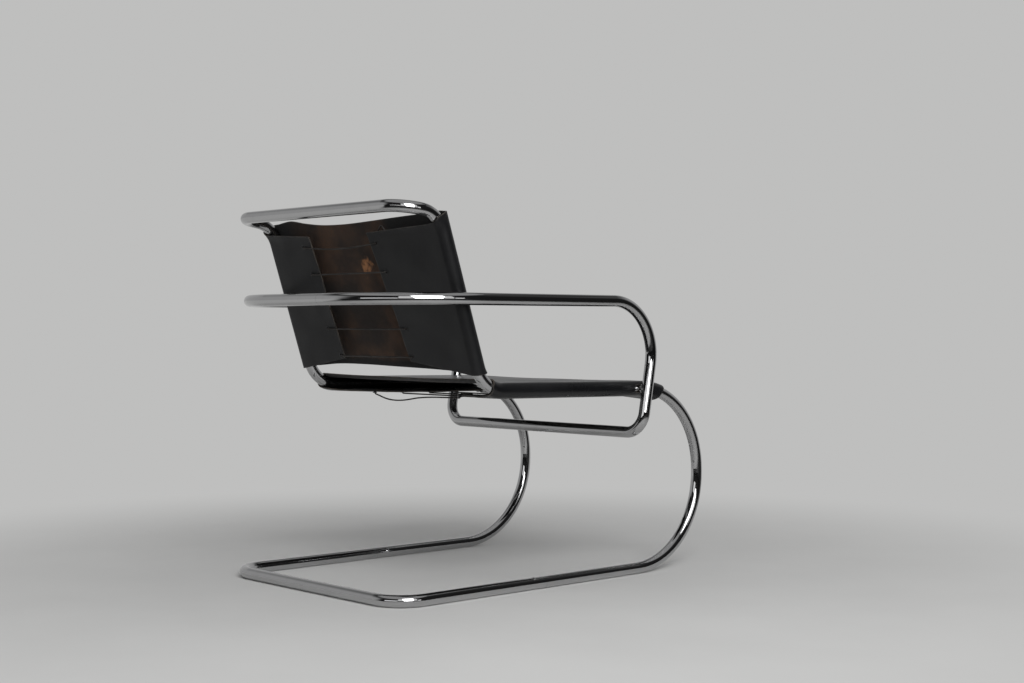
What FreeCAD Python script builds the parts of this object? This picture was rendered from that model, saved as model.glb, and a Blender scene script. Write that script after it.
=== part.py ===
import FreeCAD, Part
import math
import os
import Sketcher
from FreeCAD import Placement, Rotation, Vector

# Cantilever armchair: chromed steel tube, laced leather slings.
# Millimetres. +Z up, the sitter faces -Y, X = 0 is the middle, and z = 0 is the floor.
# The sitter's right-hand side is -X.

os.makedirs("parts", exist_ok=True)
doc = FreeCAD.newDocument("cantilever_chair")
sheet = doc.addObject("Spreadsheet::Sheet", "Sizes")

SIZES = [
    ("tubeDia", 25.0, "outside diameter of every tube"),
    ("tubeWall", 2.0, "wall of every tube"),
    ("frontReach", 450.2, "middle of the chair to the foremost tube axis"),
    ("baseReach", 416.5, "middle of the chair to the rear floor bar's axis"),
    ("railHalf", 285.0, "middle of the chair to a runner, rail or upright axis"),
    ("floorCornerRad", 65.0, "corner of the floor bar"),
    ("lowerBendRad", 198.0, "front bend, floor half"),
    ("upperBendRad", 187.0, "front bend, seat half"),
    ("railHeight", 403.4, "rail axis height, carried forward to the foremost tube axis"),
    ("railSlopeAngle", 0.85, "degrees that the rails rise to the rear"),
    ("footReach", 199.7, "middle of the chair back to where rail and upright axes cross"),
    ("footBendRad", 71.0, "bend from rail to upright"),
    ("backLeanAngle", 18.0, "degrees that the uprights lean back"),
    ("uprightRise", 369.2, "upright axis, rail crossing to top crossing"),
    ("topBendRad", 64.0, "bend from upright to top bar leg"),
    ("topTurnAngle", 82.9, "degrees from vertical of the top bar legs"),
    ("topLeg", 93.9, "top crossing to the top bar's axis"),
    ("topCornerRad", 51.7, "corner of the top bar"),
    ("seamReach", 32.0, "middle of the chair back to the runner seams"),
    ("seamGap", 0.3, "open line at each butt joint"),
    ("armOffset", 35.6, "rail axis out to the arm axis"),
    ("armReach", 450.2, "middle of the chair to the rear arm bar's axis"),
    ("armHeight", 596.3, "arm axis above the floor"),
    ("armCornerRad", 215.0, "rear corner of the arm loop"),
    ("armSetback", 169.2, "foremost tube axis back to where arm and post axes cross"),
    ("legLap", 0.5, "straight stub beyond a bend, where two stretches of one tube meet"),
    ("armBendRad", 115.0, "bend from arm to post"),
    ("postLeanAngle", 10.2, "degrees that the arm posts lean, foot to the rear"),
    ("crossHeight", 311.3, "axis height of the cross bar under the seat"),
    ("crossCornerRad", 44.7, "corner of the cross bar"),
    ("seamInset", 21.6, "right rear corner's end to the rear arm bar's seam"),
    ("plugLength", 40.0, "plug inside each arm seam"),
    ("spigotLength", 120.0, "spigot inside each runner seam"),
    ("spigotGap", 0.3, "radial clearance of spigots and plugs in the tubes"),
    ("endChamfer", 1.5, "lead-in on spigots and plugs"),
    ("screwSetback", 30.0, "runner seam to its screw"),
    ("screwAngleRight", 26.0, "degrees that the right runner screw is turned outwards"),
    ("screwAngleLeft", 68.0, "degrees that the left runner screw is turned inwards"),
    ("screwHeadDia", 7.5, "runner screw head"),
    ("screwHeadHigh", 1.8, "runner screw head"),
    ("screwDia", 4.0, "runner screw shank"),
    ("screwLength", 9.0, "runner screw under its head"),
    ("screwGap", 0.3, "radial clearance round the runner screw"),
    ("seatCut", 0.7, "flat cut in the tube under the runner screw's head"),
    ("fitGap", 0.3, "clearance of a curved face on a tube"),
    ("spacerDia", 14.0, "spacer between rail and arm post"),
    ("washerDia", 19.0, "saddle washer on the arm post"),
    ("washerThick", 2.5, "saddle washer at its thinnest"),
    ("boltDia", 6.0, "arm bolt shank"),
    ("boltGap", 0.35, "radial clearance round the arm bolt"),
    ("boltHeadDia", 12.0, "arm bolt head"),
    ("boltHeadHigh", 3.6, "arm bolt head"),
    ("boltReach", 9.0, "arm bolt beyond the post's near face"),
    ("socketAcross", 4.0, "hexagon socket of the arm bolt"),
    ("socketDeep", 2.2, "hexagon socket of the arm bolt"),
    ("insertDia", 9.0, "threaded insert in the arm post"),
    ("insertLength", 11.0, "threaded insert in the arm post"),
    ("insertSet", 1.2, "depth of the insert's face below the post's near face"),
    ("insertGap", 0.3, "radial clearance of the insert in the post wall"),
    ("leatherThick", 3.0, "sling leather"),
    ("leatherGap", 0.8, "slack between tube and leather"),
    ("backDipAngle", 3.0, "degrees at which the back sling leaves its tube, which sets its dip"),
    ("seatDipAngle", 0.8, "degrees at which the seat sling leaves its tube, which sets its dip"),
    ("wrapSlack", 0.8, "straight stretch in the back sling's wrap"),
    ("seatFlap", 165.0, "rail axis to the edge of a flap under the seat"),
    ("seatRearAngle", 30.0, "degrees of the foot bend that the seat sling covers"),
    ("seatFrontAngle", 17.5, "degrees of the front bend that the seat sling covers"),
    ("seatFlapInset", 28.0, "seat sheet edge to flap edge at the lacing"),
    ("slotLong", 34.0, "slot in the seat sling for the spacer"),
    ("slotHigh", 15.0, "slot in the seat sling for the spacer"),
    ("backBottom", 33.0, "foot crossing up to the back sheet's bottom edge at the sides"),
    ("backTopDrop", 4.2, "top crossing down to the back sheet's top edge"),
    ("backArch", 11.0, "rise of the back sheet's bottom edge in the middle"),
    ("flapTopDrop", 16.2, "top crossing down to the back flaps' top edge at the upright"),
    ("flapTopInnerDrop", 26.2, "top crossing down to the back flaps' top edge at the lacing"),
    ("flapBottom", 40.0, "foot crossing up to the back flaps' bottom edge at the upright"),
    ("flapBottomInner", 65.0, "foot crossing up to the back flaps' bottom edge at the lacing"),
    ("leftFlapTopEdge", 139.0, "middle of the chair to the left flap's edge at its top"),
    ("leftFlapFootEdge", 124.0, "middle of the chair to the left flap's edge at its foot"),
    ("rightFlapTopEdge", 64.0, "middle of the chair to the right flap's edge at its top"),
    ("rightFlapFootEdge", 103.0, "middle of the chair to the right flap's edge at its foot"),
    ("backRowDrop", 49.2, "top crossing down to the back's top row of eyelets"),
    ("backRowFoot", 75.0, "foot crossing up to the back's bottom row of eyelets"),
    ("leftEyeletInset", 30.0, "left flap's edge to its eyelets"),
    ("rightEyeletInset", 21.0, "right flap's edge to its eyelets"),
    ("footEyeletInset", 11.0, "back flap's edge to the bottom eyelet"),
    ("seatRowRear", 62.0, "foot crossing forward to the seat's rear row of eyelets"),
    ("seatRowFront", 198.0, "front crossing back to the seat's front row of eyelets"),
    ("seatEyeletInset", 26.0, "seat flap's edge to its eyelets"),
    ("laceDia", 3.2, "lace"),
    ("laceBend", 2.8, "radius of the lace's turns through the eyelets"),
    ("laceStand", 0.8, "open space between lace and eyelet rim"),
    ("laceGap", 0.3, "open space between lace and the side of an eyelet it is pulled against"),
    ("laceSag", 9.0, "sag of the back lace's slack top crossing"),
    ("loopDrop", 12.0, "drop of the seat lace's slack rear crossing"),
    ("eyeletBore", 6.0, "eyelet bore"),
    ("eyeletWall", 0.5, "eyelet metal"),
    ("eyeletRim", 10.0, "eyelet rim diameter"),
    ("eyeletGap", 0.3, "radial clearance of the eyelet in the leather"),
]

for row, (alias, value, note) in enumerate(SIZES, start=1):
    sheet.set("A%d" % row, alias)
    sheet.set("B%d" % row, repr(value))
    sheet.set("C%d" % row, note)
    sheet.setAlias("B%d" % row, alias)
doc.recompute()


def size(alias):
    return float(getattr(sheet, alias))


def cell(alias):
    return "<<Sizes>>." + alias


def number(expression):
    """Value of an expression that refers to the sheet."""
    value = sheet.evalExpression(expression)
    return float(getattr(value, "Value", value))


# Places that follow from two driving sizes
DERIVED = {
    "$armHalf": "($railHalf + $armOffset)",
    "$armFront": "($frontReach - $armSetback)",
    "$rearSeam": "($railHalf + $armOffset - $armCornerRad - $seamInset)",
}


def expand(text):
    """Expression in which each $name is written in full."""
    for name, meaning in DERIVED.items():
        text = text.replace(name, meaning)
    for alias in sorted((entry[0] for entry in SIZES), key=len, reverse=True):
        text = text.replace("$" + alias, cell(alias))
    return text


# Derived places, as expressions of the sheet's cells
TUBE_RAD = "($tubeDia / 2)"
BORE_RAD = "($tubeDia / 2 - $tubeWall)"
FOOT_Z = "($railHeight + tan($railSlopeAngle) * ($footReach + $frontReach))"
RAIL_TANGENT = "($upperBendRad * tan((90 - $railSlopeAngle) / 2))"
TOP_Y = "($footReach + sin($backLeanAngle) * $uprightRise)"
TOP_Z = "(" + FOOT_Z + " + cos($backLeanAngle) * $uprightRise)"
TOP_BAR_Y = "(" + TOP_Y + " + sin($topTurnAngle) * $topLeg)"
TOP_BAR_Z = "(" + TOP_Z + " + cos($topTurnAngle) * $topLeg)"
FOOT_TANGENT = "($footBendRad * tan((90 - $backLeanAngle - $railSlopeAngle) / 2))"
TOP_TANGENT = "($topBendRad * tan(($topTurnAngle - $backLeanAngle) / 2))"
POST_TANGENT = "($armBendRad * tan((90 + $postLeanAngle) / 2))"
CROSS_Y = "(-$armFront + tan($postLeanAngle) * ($armHeight - $crossHeight))"
POST_LENGTH = "(($armHeight - $crossHeight) / cos($postLeanAngle))"


def bind(target, path, text):
    target.setExpression(path, expand(text))


def origin_plane(body, role):
    for feature in body.Origin.OriginFeatures:
        if feature.Role == role:
            return feature
    raise ValueError(role)


def new_body(name):
    body = doc.addObject("PartDesign::Body", name)
    body.Label = name
    return body


def new_sketch(body, name, role, offset=None, turn=None):
    """Sketch on an origin plane. offset: expressions for x, y and z. turn: axis and degrees."""
    sketch = body.newObject("Sketcher::SketchObject", name)
    sketch.AttachmentSupport = [(origin_plane(body, role), "")]
    sketch.MapMode = "FlatFace"
    if turn:
        angle = number(expand(turn[1]))
        sketch.AttachmentOffset = Placement(Vector(), Rotation(turn[0], angle))
        bind(sketch, "AttachmentOffset.Rotation.Angle", turn[1])
    for axis, text in zip("xyz", offset or ()):
        if text != "0":
            bind(sketch, "AttachmentOffset.Base." + axis, text)
    return sketch


def add_circle(sketch, radius, centre=("0", "0"), label=""):
    x, y = (number(expand(text)) for text in centre)
    index = sketch.addGeometry(Part.Circle(Vector(x, y), Vector(0, 0, 1), number(expand(radius))))
    place_point(sketch, index, 3, centre)
    sketch.addConstraint(Sketcher.Constraint("Radius", index, number(expand(radius))))
    bind(sketch, "Constraints[%d]" % (sketch.ConstraintCount - 1), radius)
    return index


def place_point(sketch, index, position, point):
    """Holds a sketch point at a place given by two expressions."""
    for kind, text in zip(("DistanceX", "DistanceY"), point):
        value = number(expand(text)) if text != "0" else 0.0
        sketch.addConstraint(Sketcher.Constraint(kind, -1, 1, index, position, value))
        if text != "0":
            bind(sketch, "Constraints[%d]" % (sketch.ConstraintCount - 1), text)


def add_polygon(sketch, points):
    """Closed outline through points, each a pair of expressions."""
    values = [Vector(*(number(expand(text)) for text in point)) for point in points]
    count = len(values)
    for k in range(count):
        sketch.addGeometry(Part.LineSegment(values[k], values[(k + 1) % count]))
    for k in range(count):
        sketch.addConstraint(Sketcher.Constraint("Coincident", k, 2, (k + 1) % count, 1))
    for k, point in enumerate(points):
        place_point(sketch, k, 1, point)


def add_spine(sketch, start, heading, legs):
    """Open path of lines joined by tangent arcs.

    start: two expressions. heading: the first line's direction in degrees.
    legs: ("line", length) and ("arc", radius, turn) in turn, each turn positive to the left.
    """
    point = Vector(*(number(expand(text)) for text in start))
    angle_text = heading
    for leg in legs:
        angle = math.radians(number(expand(angle_text)))
        along = Vector(math.cos(angle), math.sin(angle))
        if leg[0] == "line":
            length = number(expand(leg[1]))
            end = point + along * length
            index = sketch.addGeometry(Part.LineSegment(point, end))
            if index == 0:
                place_point(sketch, 0, 1, start)
            else:
                tangent_ends(sketch, index)
            wrapped = math.remainder(angle, 2 * math.pi)
            sketch.addConstraint(Sketcher.Constraint("Angle", index, wrapped))
            whole_turns = 360 * round((angle - wrapped) / (2 * math.pi))
            bind(sketch, "Constraints[%d]" % (sketch.ConstraintCount - 1),
                 "(" + angle_text + " - %d) * 1 deg" % whole_turns)
            sketch.addConstraint(Sketcher.Constraint("Distance", index, length))
            bind(sketch, "Constraints[%d]" % (sketch.ConstraintCount - 1), leg[1])
        else:
            radius = number(expand(leg[1]))
            turn = math.radians(number(expand(leg[2])))
            left = 1 if turn > 0 else -1
            centre = point + Vector(-along.y, along.x) * radius * left
            first = angle - left * math.pi / 2
            last = first + turn
            low, high = min(first, last), max(first, last)
            circle = Part.Circle(centre, Vector(0, 0, 1), radius)
            index = sketch.addGeometry(Part.ArcOfCircle(circle, low, high))
            arc_starts[(sketch.Name, index)] = left
            tangent_ends(sketch, index)
            sketch.addConstraint(Sketcher.Constraint("Radius", index, radius))
            bind(sketch, "Constraints[%d]" % (sketch.ConstraintCount - 1), leg[1])
            end = centre + Vector(math.cos(last), math.sin(last)) * radius
            angle_text = "(" + angle_text + " + " + leg[2] + ")"
        point = end


arc_starts = {}


def tangent_ends(sketch, index):
    """Joins a spine leg to the one before it."""
    before = index - 1
    turned = arc_starts.get((sketch.Name, before), 1)
    turning = arc_starts.get((sketch.Name, index), 1)
    end_of_before = 2 if turned > 0 else 1
    start_of_this = 1 if turning > 0 else 2
    sketch.addConstraint(Sketcher.Constraint("Tangent", before, end_of_before, index, start_of_this))


def add_pipe(body, name, profile, spine):
    pipe = body.newObject("PartDesign::AdditivePipe", name)
    pipe.Profile = profile
    pipe.Spine = (spine, ["Edge%d" % (k + 1) for k in range(spine.GeometryCount)])
    return pipe


def ring_sketch(body, name, role, offset, centre):
    """Tube section: two circles round one centre."""
    sketch = new_sketch(body, name, role, offset)
    add_circle(sketch, TUBE_RAD, centre)
    add_circle(sketch, BORE_RAD, centre)
    return sketch


def mirrored(body, name, features):
    mirror = body.newObject("PartDesign::Mirrored", name)
    mirror.Originals = features
    mirror.MirrorPlane = (origin_plane(body, "YZ_Plane"), [""])
    body.Tip = mirror
    return mirror


SCREW_RIGHT_Y = "($seamReach + $screwSetback)"
SCREW_LEFT_Y = "($seamReach - $screwSetback)"


def runner_screw_cuts(body, tag, side, along, roll):
    """Clearance hole and flat for the screw of one runner, from its axis outwards."""
    x = side + "$railHalf"
    for name, radius, start in (
        ("hole", "($screwDia / 2 + $screwGap)", "0"),
        ("flat", "($screwHeadDia / 2 + $screwGap)", "($tubeDia / 2 - $seatCut)"),
    ):
        sketch = body.newObject("Sketcher::SketchObject", "screw_%s_%s" % (name, tag))
        sketch.AttachmentSupport = [(origin_plane(body, "XY_Plane"), "")]
        sketch.MapMode = "FlatFace"
        sketch.AttachmentOffset = Placement(Vector(), Rotation(Vector(0, -1, 0), number(expand(roll))))
        bind(sketch, "AttachmentOffset.Rotation.Angle", roll)
        bind(sketch, "AttachmentOffset.Base.x", x + " - sin(" + roll + ") * " + start)
        bind(sketch, "AttachmentOffset.Base.y", along)
        bind(sketch, "AttachmentOffset.Base.z", TUBE_RAD + " + cos(" + roll + ") * " + start)
        add_circle(sketch, radius)
        pocket = body.newObject("PartDesign::Pocket", "screw_%s_cut_%s" % (name, tag))
        pocket.Profile = sketch
        pocket.Type = 0
        pocket.Reversed = True
        bind(pocket, "Length", TUBE_RAD + " + 1")


def make_base_tube():
    """Rear floor bar with both corners and the rear ends of the runners."""
    body = new_body("frame_base_tube")
    seam = "($seamReach + $seamGap / 2)"
    ring = ring_sketch(body, "base_ring", "XZ_Plane", ("0", "0", "-" + seam), ("-$railHalf", TUBE_RAD))
    spine = new_sketch(body, "base_spine", "XY_Plane", ("0", "0", TUBE_RAD))
    runner = "($baseReach - $floorCornerRad - " + seam + ")"
    add_spine(spine, ("-$railHalf", seam), "90", [
        ("line", runner),
        ("arc", "$floorCornerRad", "-90"),
        ("line", "(2 * $railHalf - 2 * $floorCornerRad)"),
        ("arc", "$floorCornerRad", "-90"),
        ("line", runner),
    ])
    add_pipe(body, "base_pipe", ring, spine)
    runner_screw_cuts(body, "right", "-", SCREW_RIGHT_Y, "$screwAngleRight")
    return body


def make_upper_tube():
    """Runner fronts, front bends, seat rails, uprights and top bar in one bent tube."""
    body = new_body("frame_upper_tube")
    seam = "($seamReach - $seamGap / 2)"
    side_ring = ring_sketch(body, "runner_ring", "XZ_Plane", ("0", "0", "-" + seam),
                            ("-$railHalf", TUBE_RAD))
    side = new_sketch(body, "side_spine", "YZ_Plane", ("0", "0", "-$railHalf"))
    stub = "(($topLeg - " + TOP_TANGENT + " - $topCornerRad) / 2)"
    add_spine(side, (seam, TUBE_RAD), "180", [
        ("line", "(" + seam + " + $frontReach - $lowerBendRad)"),
        ("arc", "$lowerBendRad", "-90"),
        ("line", "($railHeight - " + TUBE_RAD + " - $lowerBendRad - " + RAIL_TANGENT + ")"),
        ("arc", "$upperBendRad", "-(90 - $railSlopeAngle)"),
        ("line", "(($footReach + $frontReach) / cos($railSlopeAngle) - " + RAIL_TANGENT
         + " - " + FOOT_TANGENT + ")"),
        ("arc", "$footBendRad", "(90 - $backLeanAngle - $railSlopeAngle)"),
        ("line", "($uprightRise - " + FOOT_TANGENT + " - " + TOP_TANGENT + ")"),
        ("arc", "$topBendRad", "-($topTurnAngle - $backLeanAngle)"),
        ("line", stub),
    ])
    side_pipe = add_pipe(body, "side_pipe", side_ring, side)
    top_ring = ring_sketch(body, "top_ring", "YZ_Plane", ("0", "0", "0"), (TOP_BAR_Y, TOP_BAR_Z))
    top = new_sketch(body, "top_spine", "XY_Plane", ("0", TOP_BAR_Y, TOP_BAR_Z),
                     (Vector(1, 0, 0), "(90 - $topTurnAngle)"))
    add_spine(top, ("0", "0"), "180", [
        ("line", "($railHalf - $topCornerRad)"),
        ("arc", "$topCornerRad", "90"),
        ("line", stub),
    ])
    top_pipe = add_pipe(body, "top_pipe", top_ring, top)
    mirrored(body, "left_side", [side_pipe, top_pipe])
    runner_screw_cuts(body, "left", "", SCREW_LEFT_Y, "$screwAngleLeft")
    bolt_line = (BOLT_Y, BOLT_Z)
    sketch = new_sketch(body, "bolt_holes", "YZ_Plane")
    add_circle(sketch, "($boltDia / 2 + $boltGap)", bolt_line)
    pocket = body.newObject("PartDesign::Pocket", "bolt_hole_cut")
    pocket.Profile = sketch
    pocket.Type = 0
    pocket.Midplane = True
    bind(pocket, "Length", "(2 * $railHalf + 2 * $tubeDia)")
    return body


# The bolt line crosses the post's axis at the rail's height
BOLT_Z = ("(($railHeight + tan($railSlopeAngle)"
          " * ($frontReach - $armFront + tan($postLeanAngle) * $armHeight))"
          " / (1 + tan($railSlopeAngle) * tan($postLeanAngle)))")
BOLT_Y = "(-$armFront + tan($postLeanAngle) * ($armHeight - " + BOLT_Z + "))"


def make_arm_half(name, side, rear_run):
    """Half of the arm loop: rear bar, corner, arm, post and half of the cross bar.

    side: "" on +X and "-" on -X. rear_run: the straight part of the rear bar.
    """
    sign = -1 if side == "-" else 1
    body = new_body(name)
    rear_x = "(-$rearSeam + %d * $seamGap / 2)" % sign
    ring = ring_sketch(body, name + "_rear_ring", "YZ_Plane", ("0", "0", rear_x),
                       ("$armReach", "$armHeight"))
    spine = new_sketch(body, name + "_arm_spine", "XY_Plane", ("0", "0", "$armHeight"))
    add_spine(spine, (rear_x, "$armReach"), "180" if sign < 0 else "0", [
        ("line", rear_run),
        ("arc", "$armCornerRad", "90" if sign < 0 else "-90"),
        ("line", "($armReach - $armCornerRad + $armFront - " + POST_TANGENT + " - $legLap)"),
    ])
    add_pipe(body, name + "_arm_pipe", ring, spine)
    post_start = "(-$armFront + " + POST_TANGENT + " + $legLap)"
    post_ring = ring_sketch(body, name + "_post_ring", "XZ_Plane", ("0", "0", "-" + post_start),
                            (side + "$armHalf", "$armHeight"))
    post = new_sketch(body, name + "_post_spine", "YZ_Plane", ("0", "0", side + "$armHalf"))
    add_spine(post, (post_start, "$armHeight"), "180", [
        ("line", "$legLap"),
        ("arc", "$armBendRad", "(90 + $postLeanAngle)"),
        ("line", "(" + POST_LENGTH + " - " + POST_TANGENT + " - $crossCornerRad - $legLap)"),
    ])
    add_pipe(body, name + "_post_pipe", post_ring, post)
    cross_x = "(%d * $seamGap / 2)" % sign
    cross_ring = ring_sketch(body, name + "_cross_ring", "YZ_Plane", ("0", "0", cross_x),
                             (CROSS_Y, "$crossHeight"))
    cross = new_sketch(body, name + "_cross_spine", "XY_Plane", ("0", CROSS_Y, "$crossHeight"),
                       (Vector(1, 0, 0), "(90 + $postLeanAngle)"))
    add_spine(cross, (cross_x, "0"), "180" if sign < 0 else "0", [
        ("line", "($armHalf - $crossCornerRad - $seamGap / 2)"),
        ("arc", "$crossCornerRad", "-90" if sign < 0 else "90"),
        ("line", "$legLap"),
    ])
    add_pipe(body, name + "_cross_pipe", cross_ring, cross)
    sketch = new_sketch(body, name + "_insert_outline", "YZ_Plane", ("0", "0", side + "$armHalf"))
    add_circle(sketch, "($insertDia / 2 + $insertGap)", (BOLT_Y, BOLT_Z))
    pocket = body.newObject("PartDesign::Pocket", name + "_insert_hole")
    pocket.Profile = sketch
    pocket.Type = 0
    pocket.Reversed = sign < 0
    bind(pocket, "Length", TUBE_RAD + " + 1")
    return body


def revolve_body(name, points, place, turn_axis, turn_angle):
    """Turned piece: outline in radius and height, placed with its axis on local Z."""
    body = new_body(name)
    sketch = new_sketch(body, name + "_outline", "XZ_Plane")
    add_polygon(sketch, points)
    turned = body.newObject("PartDesign::Revolution", name + "_turned")
    turned.Profile = sketch
    turned.ReferenceAxis = (sketch, ["V_Axis"])
    turned.Angle = 360
    body.Placement = Placement(Vector(), Rotation(turn_axis, number(expand(turn_angle))))
    for axis, text in zip("xyz", place):
        if text != "0":
            bind(body, "Placement.Base." + axis, text)
    if not turn_angle.lstrip("-").isdigit():
        bind(body, "Placement.Rotation.Angle", turn_angle)
    return body


SPIGOT_RAD = "(" + BORE_RAD + " - $spigotGap)"


def rod_points(radius, length):
    """Half outline of a round rod with chamfered ends, centred on its middle."""
    half = "(" + length + " / 2)"
    return [
        ("0", "-" + half),
        ("(" + radius + " - $endChamfer)", "-" + half),
        (radius, "(-" + half + " + $endChamfer)"),
        (radius, "(" + half + " - $endChamfer)"),
        ("(" + radius + " - $endChamfer)", half),
        ("0", half),
    ]


def make_spigot(name, side, screw_y, roll):
    body = revolve_body(name, rod_points(SPIGOT_RAD, "$spigotLength"),
                        (side + "$railHalf", "$seamReach", TUBE_RAD), Vector(1, 0, 0), "90")
    sketch = body.newObject("Sketcher::SketchObject", name + "_screw_outline")
    sketch.AttachmentSupport = [(origin_plane(body, "YZ_Plane"), "")]
    sketch.MapMode = "FlatFace"
    tilt = "(90 + " + roll + ")"
    sketch.AttachmentOffset = Placement(Vector(), Rotation(Vector(0, 1, 0), number(expand(tilt))))
    bind(sketch, "AttachmentOffset.Rotation.Angle", tilt)
    bind(sketch, "AttachmentOffset.Base.y", "($seamReach - " + screw_y + ")")
    add_circle(sketch, "($screwDia / 2 + $screwGap)")
    pocket = body.newObject("PartDesign::Pocket", name + "_screw_hole")
    pocket.Profile = sketch
    pocket.Type = 0
    pocket.Midplane = True
    bind(pocket, "Length", "(4 * $tubeDia)")
    return body


def make_runner_screw(name, side, along, roll):
    seat = "($tubeDia / 2 - $seatCut)"
    head = "(" + seat + " + $screwHeadHigh)"
    points = [
        ("0", "(" + seat + " - $screwLength)"),
        ("($screwDia / 2)", "(" + seat + " - $screwLength)"),
        ("($screwDia / 2)", seat),
        ("($screwHeadDia / 2)", seat),
        ("($screwHeadDia / 2)", "(" + seat + " + $screwHeadHigh / 2)"),
        ("($screwHeadDia / 4)", head),
        ("0", head),
    ]
    return revolve_body(name, points, (side + "$railHalf", along, TUBE_RAD), Vector(0, -1, 0), roll)


def make_plug(name, centre):
    return revolve_body(name, rod_points(SPIGOT_RAD, "$plugLength"), centre, Vector(0, 1, 0), "90")


def make_bolt_row_piece(name, side, outline, cuts):
    """Piece on the bolt line. Local Z runs outwards from the rail's axis."""
    body = new_body(name)
    sketch = new_sketch(body, name + "_profile", "YZ_Plane")
    add_polygon(sketch, outline)
    turned = body.newObject("PartDesign::Revolution", name + "_turned")
    turned.Profile = sketch
    turned.ReferenceAxis = (sketch, ["V_Axis"])
    turned.Angle = 360
    doc.recompute()
    for cut in cuts:
        cut(body)
    angle = 90 if side == "" else -90
    body.Placement = Placement(Vector(), Rotation(Vector(0, 1, 0), angle))
    bind(body, "Placement.Base.x", side + "$railHalf")
    bind(body, "Placement.Base.y", BOLT_Y)
    bind(body, "Placement.Base.z", BOLT_Z)
    return body


def ring_outline(inner, outer, low, high):
    return [(inner, low), (outer, low), (outer, high), (inner, high)]


POST_GAP = "($armHalf - $railHalf)"
WASHER_FACE = "(" + POST_GAP + " - " + TUBE_RAD + " - $washerThick)"
BOLT_HOLE_RAD = "($boltDia / 2 + $boltGap)"


def make_spacer(name, side):
    up = 1 if side == "" else -1

    def rail_hollow(body):
        sketch = new_sketch(body, name + "_rail_circle", "XZ_Plane")
        add_circle(sketch, "($tubeDia / 2 + $fitGap)")
        pocket = body.newObject("PartDesign::Pocket", name + "_rail_hollow")
        pocket.Profile = sketch
        pocket.Type = 0
        pocket.Midplane = True
        bind(pocket, "Length", "(2 * $tubeDia)")

    return make_bolt_row_piece(name, side, ring_outline(BOLT_HOLE_RAD, "($spacerDia / 2)", "0", WASHER_FACE),
                               [rail_hollow])


def make_washer(name, side):
    roll = "$postLeanAngle" if side == "" else "(-$postLeanAngle)"

    def post_hollow(body):
        sketch = body.newObject("Sketcher::SketchObject", name + "_post_circle")
        sketch.AttachmentSupport = [(origin_plane(body, "YZ_Plane"), "")]
        sketch.MapMode = "FlatFace"
        angle = roll
        sketch.AttachmentOffset = Placement(Vector(), Rotation(Vector(0, 1, 0), number(expand(angle))))
        bind(sketch, "AttachmentOffset.Rotation.Angle", angle)
        add_circle(sketch, "($tubeDia / 2 + $fitGap)", ("0", POST_GAP))
        pocket = body.newObject("PartDesign::Pocket", name + "_post_hollow")
        pocket.Profile = sketch
        pocket.Type = 0
        pocket.Midplane = True
        bind(pocket, "Length", "(2 * $tubeDia)")

    outline = ring_outline(BOLT_HOLE_RAD, "($washerDia / 2)", WASHER_FACE, POST_GAP)
    return make_bolt_row_piece(name, side, outline, [post_hollow])


def make_bolt(name, side):
    head_face = "(-" + TUBE_RAD + " - $fitGap)"
    head_end = "(-" + TUBE_RAD + " - $fitGap - $boltHeadHigh)"
    tip = "(" + POST_GAP + " - " + TUBE_RAD + " + $boltReach)"
    outline = [
        ("0", head_end),
        ("($boltHeadDia / 2 - $boltHeadHigh / 2)", head_end),
        ("($boltHeadDia / 2)", "(" + head_face + " - $boltHeadHigh / 3)"),
        ("($boltHeadDia / 2)", head_face),
        ("($boltDia / 2)", head_face),
        ("($boltDia / 2)", tip),
        ("0", tip),
    ]

    def socket(body):
        sketch = new_sketch(body, name + "_socket_outline", "XY_Plane", ("0", "0", head_end))
        corner = "($socketAcross / sqrt(3))"
        hexagon = []
        for k in range(6):
            hexagon.append((corner + " * cos(%d)" % (60 * k), corner + " * sin(%d)" % (60 * k)))
        add_polygon(sketch, hexagon)
        pocket = body.newObject("PartDesign::Pocket", name + "_socket")
        pocket.Profile = sketch
        pocket.Type = 0
        pocket.Reversed = True
        bind(pocket, "Length", "$socketDeep")

    return make_bolt_row_piece(name, side, outline, [socket])


def make_insert(name, side):
    start = "(" + POST_GAP + " - " + TUBE_RAD + " + $insertSet)"
    outline = ring_outline("($boltDia / 2 + $boltGap / 2)", "($insertDia / 2)", start,
                           "(" + start + " + $insertLength)")
    return make_bolt_row_piece(name, side, outline, [])


# Slings
def arc_through(centre, radius, first, last):
    """Arc edge round a centre in the section's own plane, angles in degrees."""
    def at(angle):
        turn = math.radians(angle)
        return centre + Vector(math.cos(turn), math.sin(turn), 0) * radius
    return Part.Arc(at(first), at((first + last) / 2), at(last)).toShape()


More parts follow.
